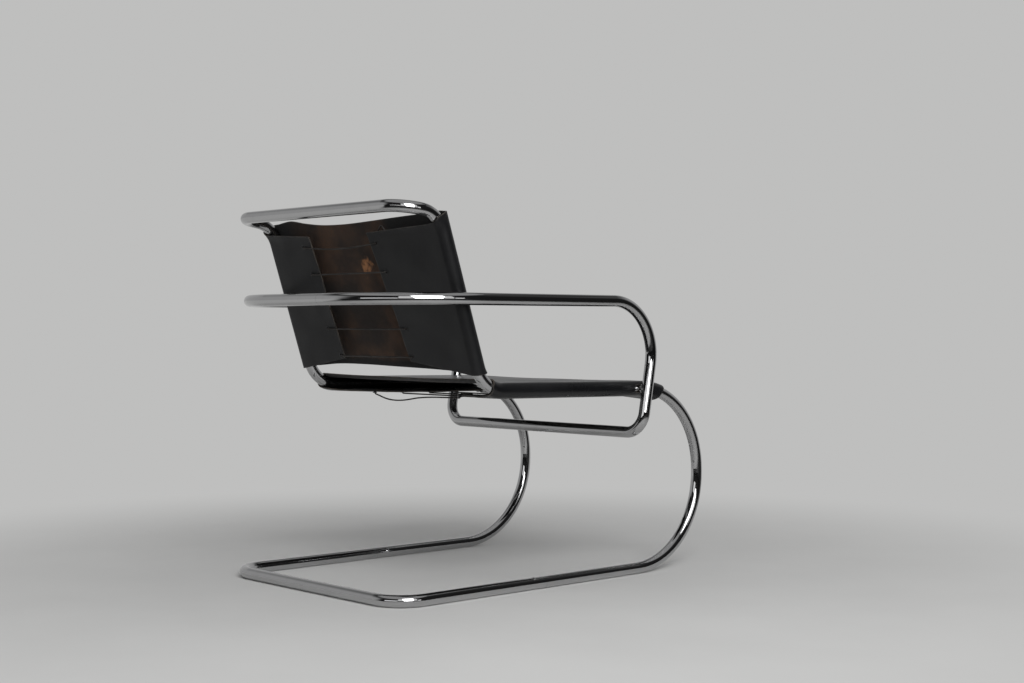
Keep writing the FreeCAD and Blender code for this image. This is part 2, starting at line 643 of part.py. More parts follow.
def sling_section(half, left_edge, right_edge, turn, rearward=0.0, forward=0.0):
    """Closed outline of a sheet that wraps two tubes at x = +-half and ends in two flaps.

    It lies in local x (across) and y (towards the sitter). left_edge and right_edge are the
    flap ends on +X and -X. turn is the angle at which the sheet leaves a tube. rearward and
    forward lengthen the wraps away from the sitter and towards them.
    """
    inner = size("tubeDia") / 2 + size("leatherGap")
    outer = inner + size("leatherThick")
    slack = size("wrapSlack")
    dip = math.radians(turn)
    far = half / math.sin(dip) - inner
    front = slack / 2 + forward
    middle = Vector(0, front + (far + inner) * math.cos(dip), 0)
    rear = -slack / 2 - rearward

    def chain(radius, sheet_radius):
        left_top = Vector(half, front, 0)
        left_low = Vector(half, rear, 0)
        right_top = Vector(-half, front, 0)
        right_low = Vector(-half, rear, 0)
        return [
            Part.makeLine(Vector(left_edge, rear - radius, 0), Vector(half, rear - radius, 0)),
            arc_through(left_low, radius, -90, 0),
            Part.makeLine(Vector(half + radius, rear, 0), Vector(half + radius, front, 0)),
            arc_through(left_top, radius, 0, 90 + turn),
            arc_through(middle, sheet_radius, 270 + turn, 270 - turn),
            arc_through(right_top, radius, 90 - turn, 180),
            Part.makeLine(Vector(-half - radius, front, 0), Vector(-half - radius, rear, 0)),
            arc_through(right_low, radius, 180, 270),
            Part.makeLine(Vector(-half, rear - radius, 0), Vector(right_edge, rear - radius, 0)),
        ]

    outside = chain(outer, far - size("leatherThick"))
    inside = chain(inner, far)
    ends = [
        Part.makeLine(Vector(right_edge, rear - outer, 0), Vector(right_edge, rear - inner, 0)),
        Part.makeLine(Vector(left_edge, rear - inner, 0), Vector(left_edge, rear - outer, 0)),
    ]
    edges = outside + [ends[0]] + list(reversed(inside)) + [ends[1]]
    return Part.Wire(Part.__sortEdges__(edges))


def add_solid(name, shape):
    piece = doc.addObject("Part::Feature", name)
    piece.Label = name
    piece.Shape = shape
    return piece


def one_solid(shape, name):
    solids = shape.Solids
    if len(solids) != 1:
        raise ValueError("%s has %d solids" % (name, len(solids)))
    return solids[0]


foot_z = number(expand(FOOT_Z))
foot = Vector(0, size("footReach"), foot_z)
lean = math.radians(size("backLeanAngle"))
slope = math.radians(size("railSlopeAngle"))
back_up = Vector(0, math.sin(lean), math.cos(lean))
back_front = Vector(0, -math.cos(lean), math.sin(lean))
rail_back = Vector(0, math.cos(slope), math.sin(slope))
rail_up = Vector(0, -math.sin(slope), math.cos(slope))
half = size("railHalf")
sleeve_outer = size("tubeDia") / 2 + size("leatherGap") + size("leatherThick")
sleeve_inner = size("tubeDia") / 2 + size("leatherGap")


def frame_of(origin, x_axis, y_axis, z_axis):
    """Placement that takes local axes to the given ones."""
    matrix = FreeCAD.Matrix(x_axis.x, y_axis.x, z_axis.x, origin.x,
                            x_axis.y, y_axis.y, z_axis.y, origin.y,
                            x_axis.z, y_axis.z, z_axis.z, origin.z, 0, 0, 0, 1)
    return Placement(matrix)


# In the back's own frame x is across, y is towards the sitter and z runs up the uprights.
# Its x axis points to -X, which keeps the frame right-handed.
back_frame = frame_of(foot, Vector(-1, 0, 0), back_front, back_up)
# In the seat's own frame x is across, y is up and z runs forward along the rails.
seat_frame = frame_of(foot, Vector(1, 0, 0), rail_up, rail_back * -1)


def section_at(height, wire):
    moved = wire.copy()
    moved.translate(Vector(0, 0, height))
    return moved


def bend_shift(radius, climb):
    """How far a bend's inner face leaves the straight at a distance into the bend."""
    if climb <= 0:
        return 0.0
    face = radius - size("tubeDia") / 2
    return face - math.sqrt(face * face - climb * climb)


def top_shift(height):
    """How far the upright's rear face has moved back at a height along it."""
    start = size("uprightRise") - number(expand(TOP_TANGENT))
    return bend_shift(size("topBendRad"), height - start)


def foot_shift(height):
    """How far the upright's front face has moved forward at a height along it."""
    return bend_shift(size("footBendRad"), number(expand(FOOT_TANGENT)) - height)


def flap_trim(top_outer, top_inner, foot_outer, foot_inner, side, edge_top, edge_foot):
    """Prism that leaves a back flap its trapezoid. side is 1 on local +x."""
    wide = half + 3 * size("tubeDia")
    points = [
        Vector(side * edge_top, 0, top_inner),
        Vector(side * half, 0, top_outer),
        Vector(side * wide, 0, top_outer),
        Vector(side * wide, 0, foot_outer),
        Vector(side * half, 0, foot_outer),
        Vector(side * edge_foot, 0, foot_inner),
    ]
    face = Part.Face(Part.makePolygon(points + [points[0]]))
    return face.extrude(Vector(0, -4 * size("tubeDia"), 0))


def hole_row(places, y_from, y_to, radius):
    """Round cutters through a flap, along local y."""
    reach = y_to - y_from
    return [Part.makeCylinder(radius, reach, Vector(x, y_from, z), Vector(0, 1, 0)) for x, z in places]


BACK_ROWS = 5
SEAT_ROWS = 6


def rows(first, last, count):
    """Evenly spaced eyelet rows."""
    return [first + (last - first) * k / (count - 1) for k in range(count)]


BACK_LEVELS = rows(size("uprightRise") - size("backRowDrop"), size("backRowFoot"), BACK_ROWS)
RAIL_RUN = (size("footReach") + size("frontReach")) / math.cos(slope)
SEAT_LEVELS = rows(size("seatRowRear"), RAIL_RUN - size("seatRowFront"), SEAT_ROWS)


def flap_edge(level, side_name):
    """Distance from the middle to a back flap's edge at a height along the upright."""
    top = size("uprightRise") - size("flapTopInnerDrop")
    foot_level = size("flapBottomInner")
    share = (level - foot_level) / (top - foot_level)
    low = size(side_name + "FlapFootEdge")
    return low + (size(side_name + "FlapTopEdge") - low) * share


def lace_pull():
    """How far off an eyelet's middle the lace lies, towards the crossing."""
    return size("eyeletBore") / 2 - size("laceDia") / 2 - size("laceGap")


def towards_middle(places):
    """Places where the lace goes through a row of eyelets."""
    pull = lace_pull()
    return [(x - math.copysign(pull, x), z) for x, z in places]


def back_eyelets(side):
    """Eyelet places of one flap in the back's frame. side is 1 on the sitter's right."""
    side_name = "right" if side > 0 else "left"
    places = []
    for k, level in enumerate(BACK_LEVELS):
        inset = size("footEyeletInset") if k == BACK_ROWS - 1 else size(side_name + "EyeletInset")
        places.append((side * (flap_edge(level, side_name) + inset), level))
    return places


def seat_eyelets(side):
    x = half - size("seatFlap") + size("seatEyeletInset")
    return [(side * x, level) for level in SEAT_LEVELS]


def make_back_sling():
    start = size("backBottom")
    straight_top = size("uprightRise") - number(expand(TOP_TANGENT))
    top = size("uprightRise") - size("backTopDrop")
    flap_top = size("uprightRise") - size("flapTopDrop")
    flap_top_inner = size("uprightRise") - size("flapTopInnerDrop")
    edge = min(size("rightFlapTopEdge"), size("rightFlapFootEdge"))
    other = min(size("leftFlapTopEdge"), size("leftFlapFootEdge"))
    straight_foot = number(expand(FOOT_TANGENT))
    turn = size("backDipAngle")
    plain = sling_section(half, edge, -other, turn)
    middle = Part.Face(section_at(straight_foot, plain)).extrude(Vector(0, 0, straight_top - straight_foot))
    steps = 3
    upper = [section_at(straight_top, plain)]
    lower = [section_at(straight_foot, plain)]
    for k in range(1, steps + 1):
        height = straight_top + (top - straight_top) * k / steps
        upper.append(section_at(height, sling_section(half, edge, -other, turn, rearward=top_shift(height))))
        height = straight_foot + (start - straight_foot) * k / steps
        lower.append(section_at(height, sling_section(half, edge, -other, turn, forward=foot_shift(height))))
    sheet_shape = middle.multiFuse([Part.makeLoft(upper, True, True), Part.makeLoft(lower, True, True)])
    # The flaps keep their trapezoids, and everything in front of them stays
    wide = 4 * half
    deep = 4 * size("tubeDia")
    front = Part.makeBox(wide, deep, 2 * top, Vector(-wide / 2, -size("wrapSlack") / 2, -top / 2))
    trims = [front]
    for side, top_edge, foot_edge in ((1, "rightFlapTopEdge", "rightFlapFootEdge"),
                                      (-1, "leftFlapTopEdge", "leftFlapFootEdge")):
        trims.append(flap_trim(flap_top, flap_top_inner, size("flapBottom"), size("flapBottomInner"),
                               side, size(top_edge), size(foot_edge)))
    keep = trims[0].multiFuse(trims[1:])
    sheet_shape = sheet_shape.common(keep)
    # Arched bottom edge of the front sheet
    arch_low = Vector(-half, 0, start)
    arch_mid = Vector(0, 0, start + size("backArch"))
    arch_high = Vector(half, 0, start)
    arch = Part.Face(Part.Wire([
        Part.Arc(arch_low, arch_mid, arch_high).toShape(),
        Part.makeLine(arch_high, arch_low),
    ])).extrude(Vector(0, deep, 0))
    sheet_shape = sheet_shape.cut(arch)
    hole = size("eyeletBore") / 2 + size("eyeletWall") + size("eyeletGap")
    low = -sleeve_outer - size("wrapSlack") - 12
    cutters = hole_row(back_eyelets(1) + back_eyelets(-1), low, -size("tubeDia") / 2 + 2, hole)
    sheet_shape = sheet_shape.cut(cutters)
    shape = one_solid(sheet_shape, "back_sling")
    shape.Placement = back_frame
    return add_solid("back_sling", shape)


def make_seat_sling():
    edge = half - size("seatFlap")
    plain = sling_section(half, edge, -edge, size("seatDipAngle"))
    foot_tangent = number(expand(FOOT_TANGENT))
    front_tangent = number(expand(RAIL_TANGENT))
    straight = RAIL_RUN - front_tangent - foot_tangent
    face = Part.Face(section_at(foot_tangent, plain))
    body = face.extrude(Vector(0, 0, straight))
    rear_axis = Vector(0, size("footBendRad"), foot_tangent)
    rear = face.revolve(rear_axis, Vector(1, 0, 0), size("seatRearAngle"))
    front_face = Part.Face(section_at(foot_tangent + straight, plain))
    front_axis = Vector(0, -size("upperBendRad"), foot_tangent + straight)
    front = front_face.revolve(front_axis, Vector(1, 0, 0), size("seatFrontAngle"))
    shape = body.multiFuse([rear, front])
    # Flaps stop short of the sheet's ends towards the lacing
    inset = size("seatFlapInset")
    first = foot_tangent - inset
    last = foot_tangent + straight + inset
    wide = 4 * half
    deep = 8 * size("tubeDia")
    for low, high, away in ((first, first + 2 * inset, -1), (last - 2 * inset, last, 1)):
        for side in (1, -1):
            near = high if away < 0 else low
            end = low - deep if away < 0 else high + deep
            outer = low if away < 0 else high
            points = [
                Vector(side * half, 0, outer),
                Vector(side * (edge - 1), 0, near),
                Vector(side * (edge - 1), 0, end),
                Vector(side * half, 0, end),
            ]
            wedge = Part.Face(Part.makePolygon(points + [points[0]]))
            shape = shape.cut(wedge.extrude(Vector(0, -deep, 0)))
    # Slots for the spacers
    bolt_y = number(expand(BOLT_Y))
    bolt_z = number(expand(BOLT_Z))
    bolt = seat_frame.inverse().multVec(Vector(0, bolt_y, bolt_z))
    slot_half = (size("slotLong") - size("slotHigh")) / 2
    radius = size("slotHigh") / 2
    for side in (1, -1):
        base = Vector(side * half, bolt.y, bolt.z)
        out = Vector(side, 0, 0)
        reach = 2 * size("tubeDia")
        ends = [Part.makeCylinder(radius, reach, base + Vector(0, 0, s * slot_half), out) for s in (1, -1)]
        box = Part.makeBox(reach, 2 * radius, 2 * slot_half,
                           base + Vector(0 if side > 0 else -reach, -radius, -slot_half))
        shape = shape.cut([ends[0].fuse(ends[1]).fuse(box)])
    hole = size("eyeletBore") / 2 + size("eyeletWall") + size("eyeletGap")
    cutters = hole_row(seat_eyelets(1) + seat_eyelets(-1), -sleeve_outer - 5, -size("tubeDia") / 2 + 2, hole)
    shape = one_solid(shape.cut(cutters), "seat_sling")
    shape.Placement = seat_frame
    return add_solid("seat_sling", shape)


FLAP_MID = -(sleeve_inner + sleeve_outer) / 2 - size("wrapSlack") / 2


def eyelet(x, z):
    """Rolled eyelet through a flap: a barrel and two rims, on local y."""
    bore = size("eyeletBore") / 2
    wall = size("eyeletWall")
    half_leather = size("leatherThick") / 2
    rim = size("eyeletRim") / 2
    barrel = Part.makeCylinder(bore + wall, 2 * (half_leather + wall), Vector(0, 0, -half_leather - wall))
    low_rim = Part.makeCylinder(rim, wall, Vector(0, 0, -half_leather - wall))
    high_rim = Part.makeCylinder(rim, wall, Vector(0, 0, half_leather))
    hollow = Part.makeCylinder(bore, 4 * half_leather, Vector(0, 0, -2 * half_leather))
    shape = barrel.multiFuse([low_rim, high_rim]).cut(hollow).removeSplitter()
    shape = one_solid(shape, "eyelet")
    shape.Placement = Placement(Vector(x, FLAP_MID, z), Rotation(Vector(1, 0, 0), -90))
    return shape


def make_eyelets(name, places, frame):
    group = Part.makeCompound([eyelet(x, z) for x, z in places])
    group.Placement = frame
    return add_solid(name, group)


def rounded_path(points, radii):
    """Wire of straight runs joined by tangent arcs of the given radii at the inner points."""
    edges = []
    start = points[0]
    for k in range(1, len(points) - 1):
        corner = points[k]
        back = (points[k - 1] - corner).normalize()
        ahead = (points[k + 1] - corner).normalize()
        between = back.getAngle(ahead)
        turn = math.pi - between
        tangent = radii[k - 1] * math.tan(turn / 2)
        first = corner + back * tangent
        last = corner + ahead * tangent
        middle_way = (back + ahead).normalize()
        centre = corner + middle_way * (radii[k - 1] / math.cos(turn / 2))
        apex = centre - middle_way * radii[k - 1]
        edges.append(Part.makeLine(start, first))
        edges.append(Part.Arc(first, apex, last).toShape())
        start = last
    edges.append(Part.makeLine(start, points[-1]))
    return Part.Wire(edges)


def lace_solid(name, points, radii, frame):
    path = rounded_path(points, radii)
    along = (points[1] - points[0]).normalize()
    circle = Part.Wire(Part.makeCircle(size("laceDia") / 2, points[0], along))
    shape = path.makePipeShell([circle], True, False)
    expected = math.pi * size("laceDia") ** 2 / 4 * path.Length
    print(name, "length %.1f" % path.Length, "volume ratio %.4f" % (shape.Volume / expected),
          "least radius %.1f" % min(radii))
    shape = one_solid(shape, name)
    shape.Placement = frame
    return add_solid(name, shape)


def make_back_lace():
    """Serpentine: across the open strip behind the flaps, then down inside them."""
    rim = size("leatherThick") / 2 + size("eyeletWall") + size("laceStand") + size("laceDia") / 2
    outside = FLAP_MID - rim
    inside = FLAP_MID + rim
    bend = size("laceBend")
    right = towards_middle(back_eyelets(1))
    left = towards_middle(back_eyelets(-1))
    first = Vector(right[0][0], outside, right[0][1])
    entry = Vector(first.x, inside, first.z)
    points = [
        entry + Vector(30, 0, 25),
        entry + Vector(26, 0, 35),
        entry + Vector(18, 0, 33),
        entry + Vector(1, 0, 14),
        entry,
        first,
    ]
    radii = [4.0, 4.0, 8.0, bend]
    for k, level in enumerate(BACK_LEVELS):
        here, there = (right[k], left[k]) if k % 2 == 0 else (left[k], right[k])
        radii.append(bend)
        if k == 0:
            points.append(Vector(-30, outside, level - size("laceSag")))
            radii.append(60.0)
        points.append(Vector(there[0], outside, level))
        points.append(Vector(there[0], inside, level))
        radii.append(bend)
        if k + 1 < len(BACK_LEVELS):
            below = right[k + 1] if k % 2 else left[k + 1]
            radii.append(bend)
            points.append(Vector(below[0], inside, below[1]))
            points.append(Vector(below[0], outside, below[1]))
            radii.append(bend)
        else:
            radii.append(bend)
            points.append(Vector(there[0] + math.copysign(12, there[0]), inside, level + 22))
    return lace_solid("back_lace", points, radii[:len(points) - 2], back_frame)


def make_seat_lace():
    """Serpentine under the seat, its rear crossing hanging slack."""
    rim = size("leatherThick") / 2 + size("eyeletWall") + size("laceStand") + size("laceDia") / 2
    outside = FLAP_MID - rim
    inside = FLAP_MID + rim
    bend = size("laceBend")
    right = towards_middle(seat_eyelets(-1))
    left = towards_middle(seat_eyelets(1))
    drop = size("loopDrop")
    points = [
        Vector(right[0][0] - 24, inside, right[0][1] + 14),
        Vector(right[0][0], inside, right[0][1]),
    ]
    radii = [bend]
    for k, level in enumerate(SEAT_LEVELS):
        here, there = (right[k], left[k]) if k % 2 == 0 else (left[k], right[k])
        points.append(Vector(here[0], outside, level))
        radii.append(bend)
        if k == 0:
            points.append(Vector(-20, outside - 1.5, level))
            points.append(Vector(44, outside - drop, level))
            points.append(Vector(96, outside - drop, level))
            radii += [60.0, 40.0, 24.0]
        points.append(Vector(there[0], outside, level))
        radii.append(bend)
        points.append(Vector(there[0], inside, level))
        radii.append(bend)
        if k + 1 < len(SEAT_LEVELS):
            ahead = right[k + 1] if k % 2 else left[k + 1]
            points.append(Vector(ahead[0], inside, ahead[1]))
            radii.append(bend)
        else:
            points.append(Vector(there[0] - 24, inside, level - 14))
    return lace_solid("seat_lace", points, radii[:len(points) - 2], seat_frame)


pieces = [
    make_base_tube(),
    make_upper_tube(),
    make_spigot("runner_spigot_right", "-", SCREW_RIGHT_Y, "$screwAngleRight"),
    make_spigot("runner_spigot_left", "", SCREW_LEFT_Y, "$screwAngleLeft"),
    make_runner_screw("runner_screw_right", "-", SCREW_RIGHT_Y, "$screwAngleRight"),
    make_runner_screw("runner_screw_left", "", SCREW_LEFT_Y, "$screwAngleLeft"),
    make_arm_half("arm_tube_right", "-", "($armHalf - $armCornerRad - $rearSeam - $seamGap / 2)"),
    make_arm_half("arm_tube_left", "", "($armHalf - $armCornerRad + $rearSeam - $seamGap / 2)"),
    make_plug("arm_plug_rear", ("-$rearSeam", "$armReach", "$armHeight")),
    make_plug("arm_plug_front", ("0", CROSS_Y, "$crossHeight")),
]
for side_name, side in (("right", "-"), ("left", "")):
    pieces.append(make_spacer("arm_spacer_" + side_name, side))
    pieces.append(make_washer("arm_washer_" + side_name, side))
    pieces.append(make_bolt("arm_bolt_" + side_name, side))
    pieces.append(make_insert("arm_insert_" + side_name, side))
doc.recompute()
pieces.append(make_back_sling())
pieces.append(make_seat_sling())
pieces.append(make_back_lace())
pieces.append(make_seat_lace())
pieces.append(make_eyelets("back_eyelets_right", back_eyelets(1), back_frame))
pieces.append(make_eyelets("back_eyelets_left", back_eyelets(-1), back_frame))
pieces.append(make_eyelets("seat_eyelets_right", seat_eyelets(-1), seat_frame))
pieces.append(make_eyelets("seat_eyelets_left", seat_eyelets(1), seat_frame))
doc.recompute()

faults = []
for item in doc.Objects:
    if "Invalid" in item.State or "Error" in item.State:
        faults.append("%s %s" % (item.Name, item.State))
for piece in pieces:
    if piece.Shape.isNull() or not piece.Shape.isValid():
        faults.append("%s has no valid shape" % piece.Label)
if faults:
    raise RuntimeError("; ".join(faults))
for piece in pieces:
    piece.Shape.exportStep("parts/%s.step" % piece.Label)
    box = piece.Shape.optimalBoundingBox(False)
    print("%-22s solids %d  volume %10.0f  x %7.1f %7.1f  y %7.1f %7.1f  z %6.1f %6.1f" % (
        piece.Label, len(piece.Shape.Solids), piece.Shape.Volume, box.XMin, box.XMax,
        box.YMin, box.YMax, box.ZMin, box.ZMax))
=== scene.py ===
import math

import bmesh
import bpy
import numpy as np
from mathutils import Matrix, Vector


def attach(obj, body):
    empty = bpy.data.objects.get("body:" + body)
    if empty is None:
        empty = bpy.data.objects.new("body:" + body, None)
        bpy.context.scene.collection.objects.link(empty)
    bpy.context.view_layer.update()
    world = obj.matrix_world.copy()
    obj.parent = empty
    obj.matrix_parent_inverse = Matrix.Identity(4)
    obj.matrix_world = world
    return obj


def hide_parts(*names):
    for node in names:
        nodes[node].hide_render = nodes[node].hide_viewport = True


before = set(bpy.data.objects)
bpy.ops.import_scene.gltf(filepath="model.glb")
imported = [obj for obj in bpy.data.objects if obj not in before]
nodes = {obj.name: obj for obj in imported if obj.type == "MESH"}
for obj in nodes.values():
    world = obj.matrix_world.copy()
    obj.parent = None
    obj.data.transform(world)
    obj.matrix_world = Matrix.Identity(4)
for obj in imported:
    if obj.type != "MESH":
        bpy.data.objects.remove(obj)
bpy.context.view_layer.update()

print("frame loaded:", len(nodes), "nodes")

# Driving sizes of the chair, in metres and degrees
chair = {
    "tubeDia": 0.025,
    "railHalf": 0.285,        # middle of the chair to a rail or an upright
    "footReach": 0.1997,      # middle of the chair back to where rails and uprights cross
    "frontReach": 0.4502,     # middle of the chair forward to the foremost tube
    "railHeight": 0.4034,
    "railSlope": 0.85,
    "backLean": 18.0,
    "uprightRise": 0.3692,
    "footBend": 0.071,        # rail to upright
    "topBend": 0.064,         # upright to the top bar's leg
    "topTurn": 82.9,
    "upperBend": 0.187,       # front bend, seat half
    "postPlace": (-0.2468, 0.4064),   # y and z where the arm bolts cross the rails
}

lean = math.radians(chair["backLean"])
slope = math.radians(chair["railSlope"])
tubeRadius = chair["tubeDia"] / 2
footHeight = chair["railHeight"] + math.tan(slope) * (chair["footReach"] + chair["frontReach"])
footTangent = chair["footBend"] * math.tan(math.radians(90 - chair["backLean"] - chair["railSlope"]) / 2)
topTangent = chair["topBend"] * math.tan(math.radians(chair["topTurn"] - chair["backLean"]) / 2)
railTangent = chair["upperBend"] * math.tan(math.radians(90 - chair["railSlope"]) / 2)
railRun = (chair["footReach"] + chair["frontReach"]) / math.cos(slope)


# Camera of the photograph
photoCamera = {
    "place": (-2.66864, 2.30670, 0.54378),
    "yaw": 47.46,
    "pitch": 0.57,
    "focalPixels": 1591.8,
    "frameWidth": 1024,
    "sensor": 36.0,
    "farClip": 60.0,
}


def makeCamera(c):
    data = bpy.data.cameras.new("photoCamera")
    data.sensor_width = c["sensor"]
    data.lens = c["focalPixels"] / c["frameWidth"] * c["sensor"]
    data.clip_end = c["farClip"]
    obj = bpy.data.objects.new("photoCamera", data)
    bpy.context.scene.collection.objects.link(obj)
    yaw = math.radians(c["yaw"])
    pitch = math.radians(c["pitch"])
    ahead = Vector((math.sin(yaw) * math.cos(pitch), -math.cos(yaw) * math.cos(pitch), -math.sin(pitch)))
    obj.location = c["place"]
    obj.rotation_euler = ahead.to_track_quat("-Z", "Y").to_euler()
    bpy.context.scene.camera = obj
    return obj


makeCamera(photoCamera)
print("camera ready")


# Shader helpers
def newMaterial(name):
    mat = bpy.data.materials.new(name)
    mat.use_nodes = True
    tree = mat.node_tree
    tree.nodes.clear()
    out = tree.nodes.new("ShaderNodeOutputMaterial")
    bsdf = tree.nodes.new("ShaderNodeBsdfPrincipled")
    out.location = (600, 0)
    bsdf.location = (300, 0)
    tree.links.new(bsdf.outputs["BSDF"], out.inputs["Surface"])
    return mat, tree, bsdf


def addNode(tree, kind, **values):
    node = tree.nodes.new(kind)
    for name, value in values.items():
        if hasattr(node, name):
            setattr(node, name, value)
        else:
            node.inputs[name].default_value = value
    return node


def addMath(tree, operation, first, second=None, clamp=False):
    node = tree.nodes.new("ShaderNodeMath")
    node.operation = operation
    node.use_clamp = clamp
    for k, value in enumerate((first, second)):
        if value is None:
            continue
        if isinstance(value, (int, float)):
            node.inputs[k].default_value = value
        else:
            tree.links.new(value, node.inputs[k])
    return node.outputs[0]


def addRange(tree, value, low, high, toLow=0.0, toHigh=1.0, smooth=True):
    node = tree.nodes.new("ShaderNodeMapRange")
    node.interpolation_type = "SMOOTHSTEP" if smooth else "LINEAR"
    node.inputs["From Min"].default_value = low
    node.inputs["From Max"].default_value = high
    node.inputs["To Min"].default_value = toLow
    node.inputs["To Max"].default_value = toHigh
    tree.links.new(value, node.inputs["Value"])
    return node.outputs["Result"]


def addMix(tree, share, first, second):
    node = tree.nodes.new("ShaderNodeMix")
    node.data_type = "RGBA"
    for socket, value in (("Factor", share), ("A", first), ("B", second)):
        kind = "VALUE" if socket == "Factor" else "RGBA"
        target = [s for s in node.inputs if s.name == socket and s.type == kind][0]
        if isinstance(value, (int, float)):
            target.default_value = value
        elif isinstance(value, tuple):
            target.default_value = (*value, 1.0)
        else:
            tree.links.new(value, target)
    return [s for s in node.outputs if s.type == "RGBA"][0]


def noise(tree, vector, scale, detail=3.0, rough=0.5):
    node = addNode(tree, "ShaderNodeTexNoise")
    node.inputs["Scale"].default_value = scale
    node.inputs["Detail"].default_value = detail
    node.inputs["Roughness"].default_value = rough
    tree.links.new(vector, node.inputs["Vector"])
    return node.outputs["Fac"]


def newGroup(name, inputs, outputs):
    group = bpy.data.node_groups.new(name, "ShaderNodeTree")
    for socketName, kind, value in inputs:
        socket = group.interface.new_socket(socketName, in_out="INPUT", socket_type=kind)
        if value is not None:
            socket.default_value = value
    for socketName, kind in outputs:
        group.interface.new_socket(socketName, in_out="OUTPUT", socket_type=kind)
    start = group.nodes.new("NodeGroupInput")
    end = group.nodes.new("NodeGroupOutput")
    return group, start, end


# Leather grain: small pebbles, pores and long creases, as a height
grainValues = {
    "pebbleSmooth": 0.6,
    "pebbleShare": 0.6,
    "poreScale": 1500.0,
    "poreShare": 0.35,
    "creaseScale": 55.0,
    "creaseWidth": 0.06,      # share of the noise's range
    "napScale": 420.0,
    "patchScale": 9.0,
}


def makeGrainGroup(g):
    group, start, end = newGroup(
        "leatherGrain",
        [("Vector", "NodeSocketVector", None), ("Pebble", "NodeSocketFloat", 700.0),
         ("Crease", "NodeSocketFloat", 0.3), ("Nap", "NodeSocketFloat", 0.0)],
        [("Height", "NodeSocketFloat"), ("Patch", "NodeSocketFloat")],
    )
    at = start.outputs["Vector"]
    pebble = addNode(group, "ShaderNodeTexVoronoi", feature="SMOOTH_F1")
    pebble.inputs["Smoothness"].default_value = g["pebbleSmooth"]
    group.links.new(at, pebble.inputs["Vector"])
    group.links.new(start.outputs["Pebble"], pebble.inputs["Scale"])
    pores = noise(group, at, g["poreScale"], 2.0)
    crease = noise(group, at, g["creaseScale"], 6.0, 0.62)
    fold = addMath(group, "ABSOLUTE", addMath(group, "SUBTRACT", crease, 0.5))
    foldLine = addRange(group, fold, 0.0, g["creaseWidth"])
    nap = noise(group, at, g["napScale"], 6.0, 0.75)
    pebbles = addMath(group, "MULTIPLY", pebble.outputs["Distance"], g["pebbleShare"])
    height = addMath(group, "ADD", pebbles, addMath(group, "MULTIPLY", pores, g["poreShare"]))
    creased = addMath(group, "MULTIPLY", foldLine, start.outputs["Crease"])
    napped = addMath(group, "MULTIPLY", nap, start.outputs["Nap"])
    total = addMath(group, "ADD", addMath(group, "ADD", height, creased), napped)
    patch = noise(group, at, g["patchScale"], 4.0, 0.55)
    group.links.new(total, end.inputs["Height"])
    group.links.new(patch, end.inputs["Patch"])
    return group


grainGroup = makeGrainGroup(grainValues)


# Dust and fine handling marks, as a mask and a height
wearValues = {
    "cloudFrom": (0.45, 0.75),
    "speckScale": 900.0,
    "speckFrom": (0.62, 0.74),
    "speckShare": 0.6,
}


def makeWearGroup(w):
    group, start, end = newGroup(
        "surfaceWear",
        [("Vector", "NodeSocketVector", None), ("Scale", "NodeSocketFloat", 30.0),
         ("Amount", "NodeSocketFloat", 0.5)],
        [("Mask", "NodeSocketFloat"), ("Height", "NodeSocketFloat")],
    )
    at = start.outputs["Vector"]
    cloud = addNode(group, "ShaderNodeTexNoise", Detail=5.0, Roughness=0.6)
    group.links.new(at, cloud.inputs["Vector"])
    group.links.new(start.outputs["Scale"], cloud.inputs["Scale"])
    specks = noise(group, at, w["speckScale"], 2.0)
    speckMask = addRange(group, specks, *w["speckFrom"])
    cloudMask = addRange(group, cloud.outputs["Fac"], *w["cloudFrom"])
    both = addMath(group, "MAXIMUM", addMath(group, "MULTIPLY", speckMask, w["speckShare"]), cloudMask)
    group.links.new(addMath(group, "MULTIPLY", both, start.outputs["Amount"]), end.inputs["Mask"])
    group.links.new(addMath(group, "MULTIPLY", specks, start.outputs["Amount"]), end.inputs["Height"])
    return group


wearGroup = makeWearGroup(wearValues)


def placeGroup(tree, group, vector, **values):
    node = tree.nodes.new("ShaderNodeGroup")
    node.node_tree = group
    tree.links.new(vector, node.inputs["Vector"])
    for name, value in values.items():
        node.inputs[name].default_value = value
    return node


def objectPlace(tree):
    return addNode(tree, "ShaderNodeTexCoord").outputs["Object"]


def addBump(tree, height, strength, distance, bsdf):
    node = tree.nodes.new("ShaderNodeBump")
    node.inputs["Strength"].default_value = strength
    node.inputs["Distance"].default_value = distance
    tree.links.new(height, node.inputs["Height"])
    tree.links.new(node.outputs["Normal"], bsdf.inputs["Normal"])
    return node


def readAttribute(tree, name):
    node = addNode(tree, "ShaderNodeAttribute")
    node.attribute_name = name
    return node.outputs["Fac"]


# Finish of the bent tube
chromeLook = {
    "color": (0.50, 0.50, 0.505),
    "hazeColor": (0.42, 0.42, 0.42),
    "roughness": 0.055,
    "hazeRoughness": 0.13,
    "hazeScale": 38.0,
    "waveScale": 26.0,
    "waveHeight": 0.00006,
    "speckHeight": 0.05,      # share of the waves
    "bump": 0.35,
}


def makeChrome(name, look, hazeAmount):
    mat, tree, bsdf = newMaterial(name)
    at = objectPlace(tree)
    wear = placeGroup(tree, wearGroup, at, Scale=look["hazeScale"], Amount=hazeAmount)
    ripple = noise(tree, at, look["waveScale"], 2.0)
    color = addMix(tree, wear.outputs["Mask"], look["color"], look["hazeColor"])
    tree.links.new(color, bsdf.inputs["Base Color"])
    rough = addRange(tree, wear.outputs["Mask"], 0, 1, look["roughness"], look["hazeRoughness"], False)
    tree.links.new(rough, bsdf.inputs["Roughness"])
    bsdf.inputs["Metallic"].default_value = 1.0
    specks = addMath(tree, "MULTIPLY", wear.outputs["Height"], look["speckHeight"])
    height = addMath(tree, "ADD", ripple, specks)
    addBump(tree, height, look["bump"], look["waveHeight"], bsdf)
    return mat


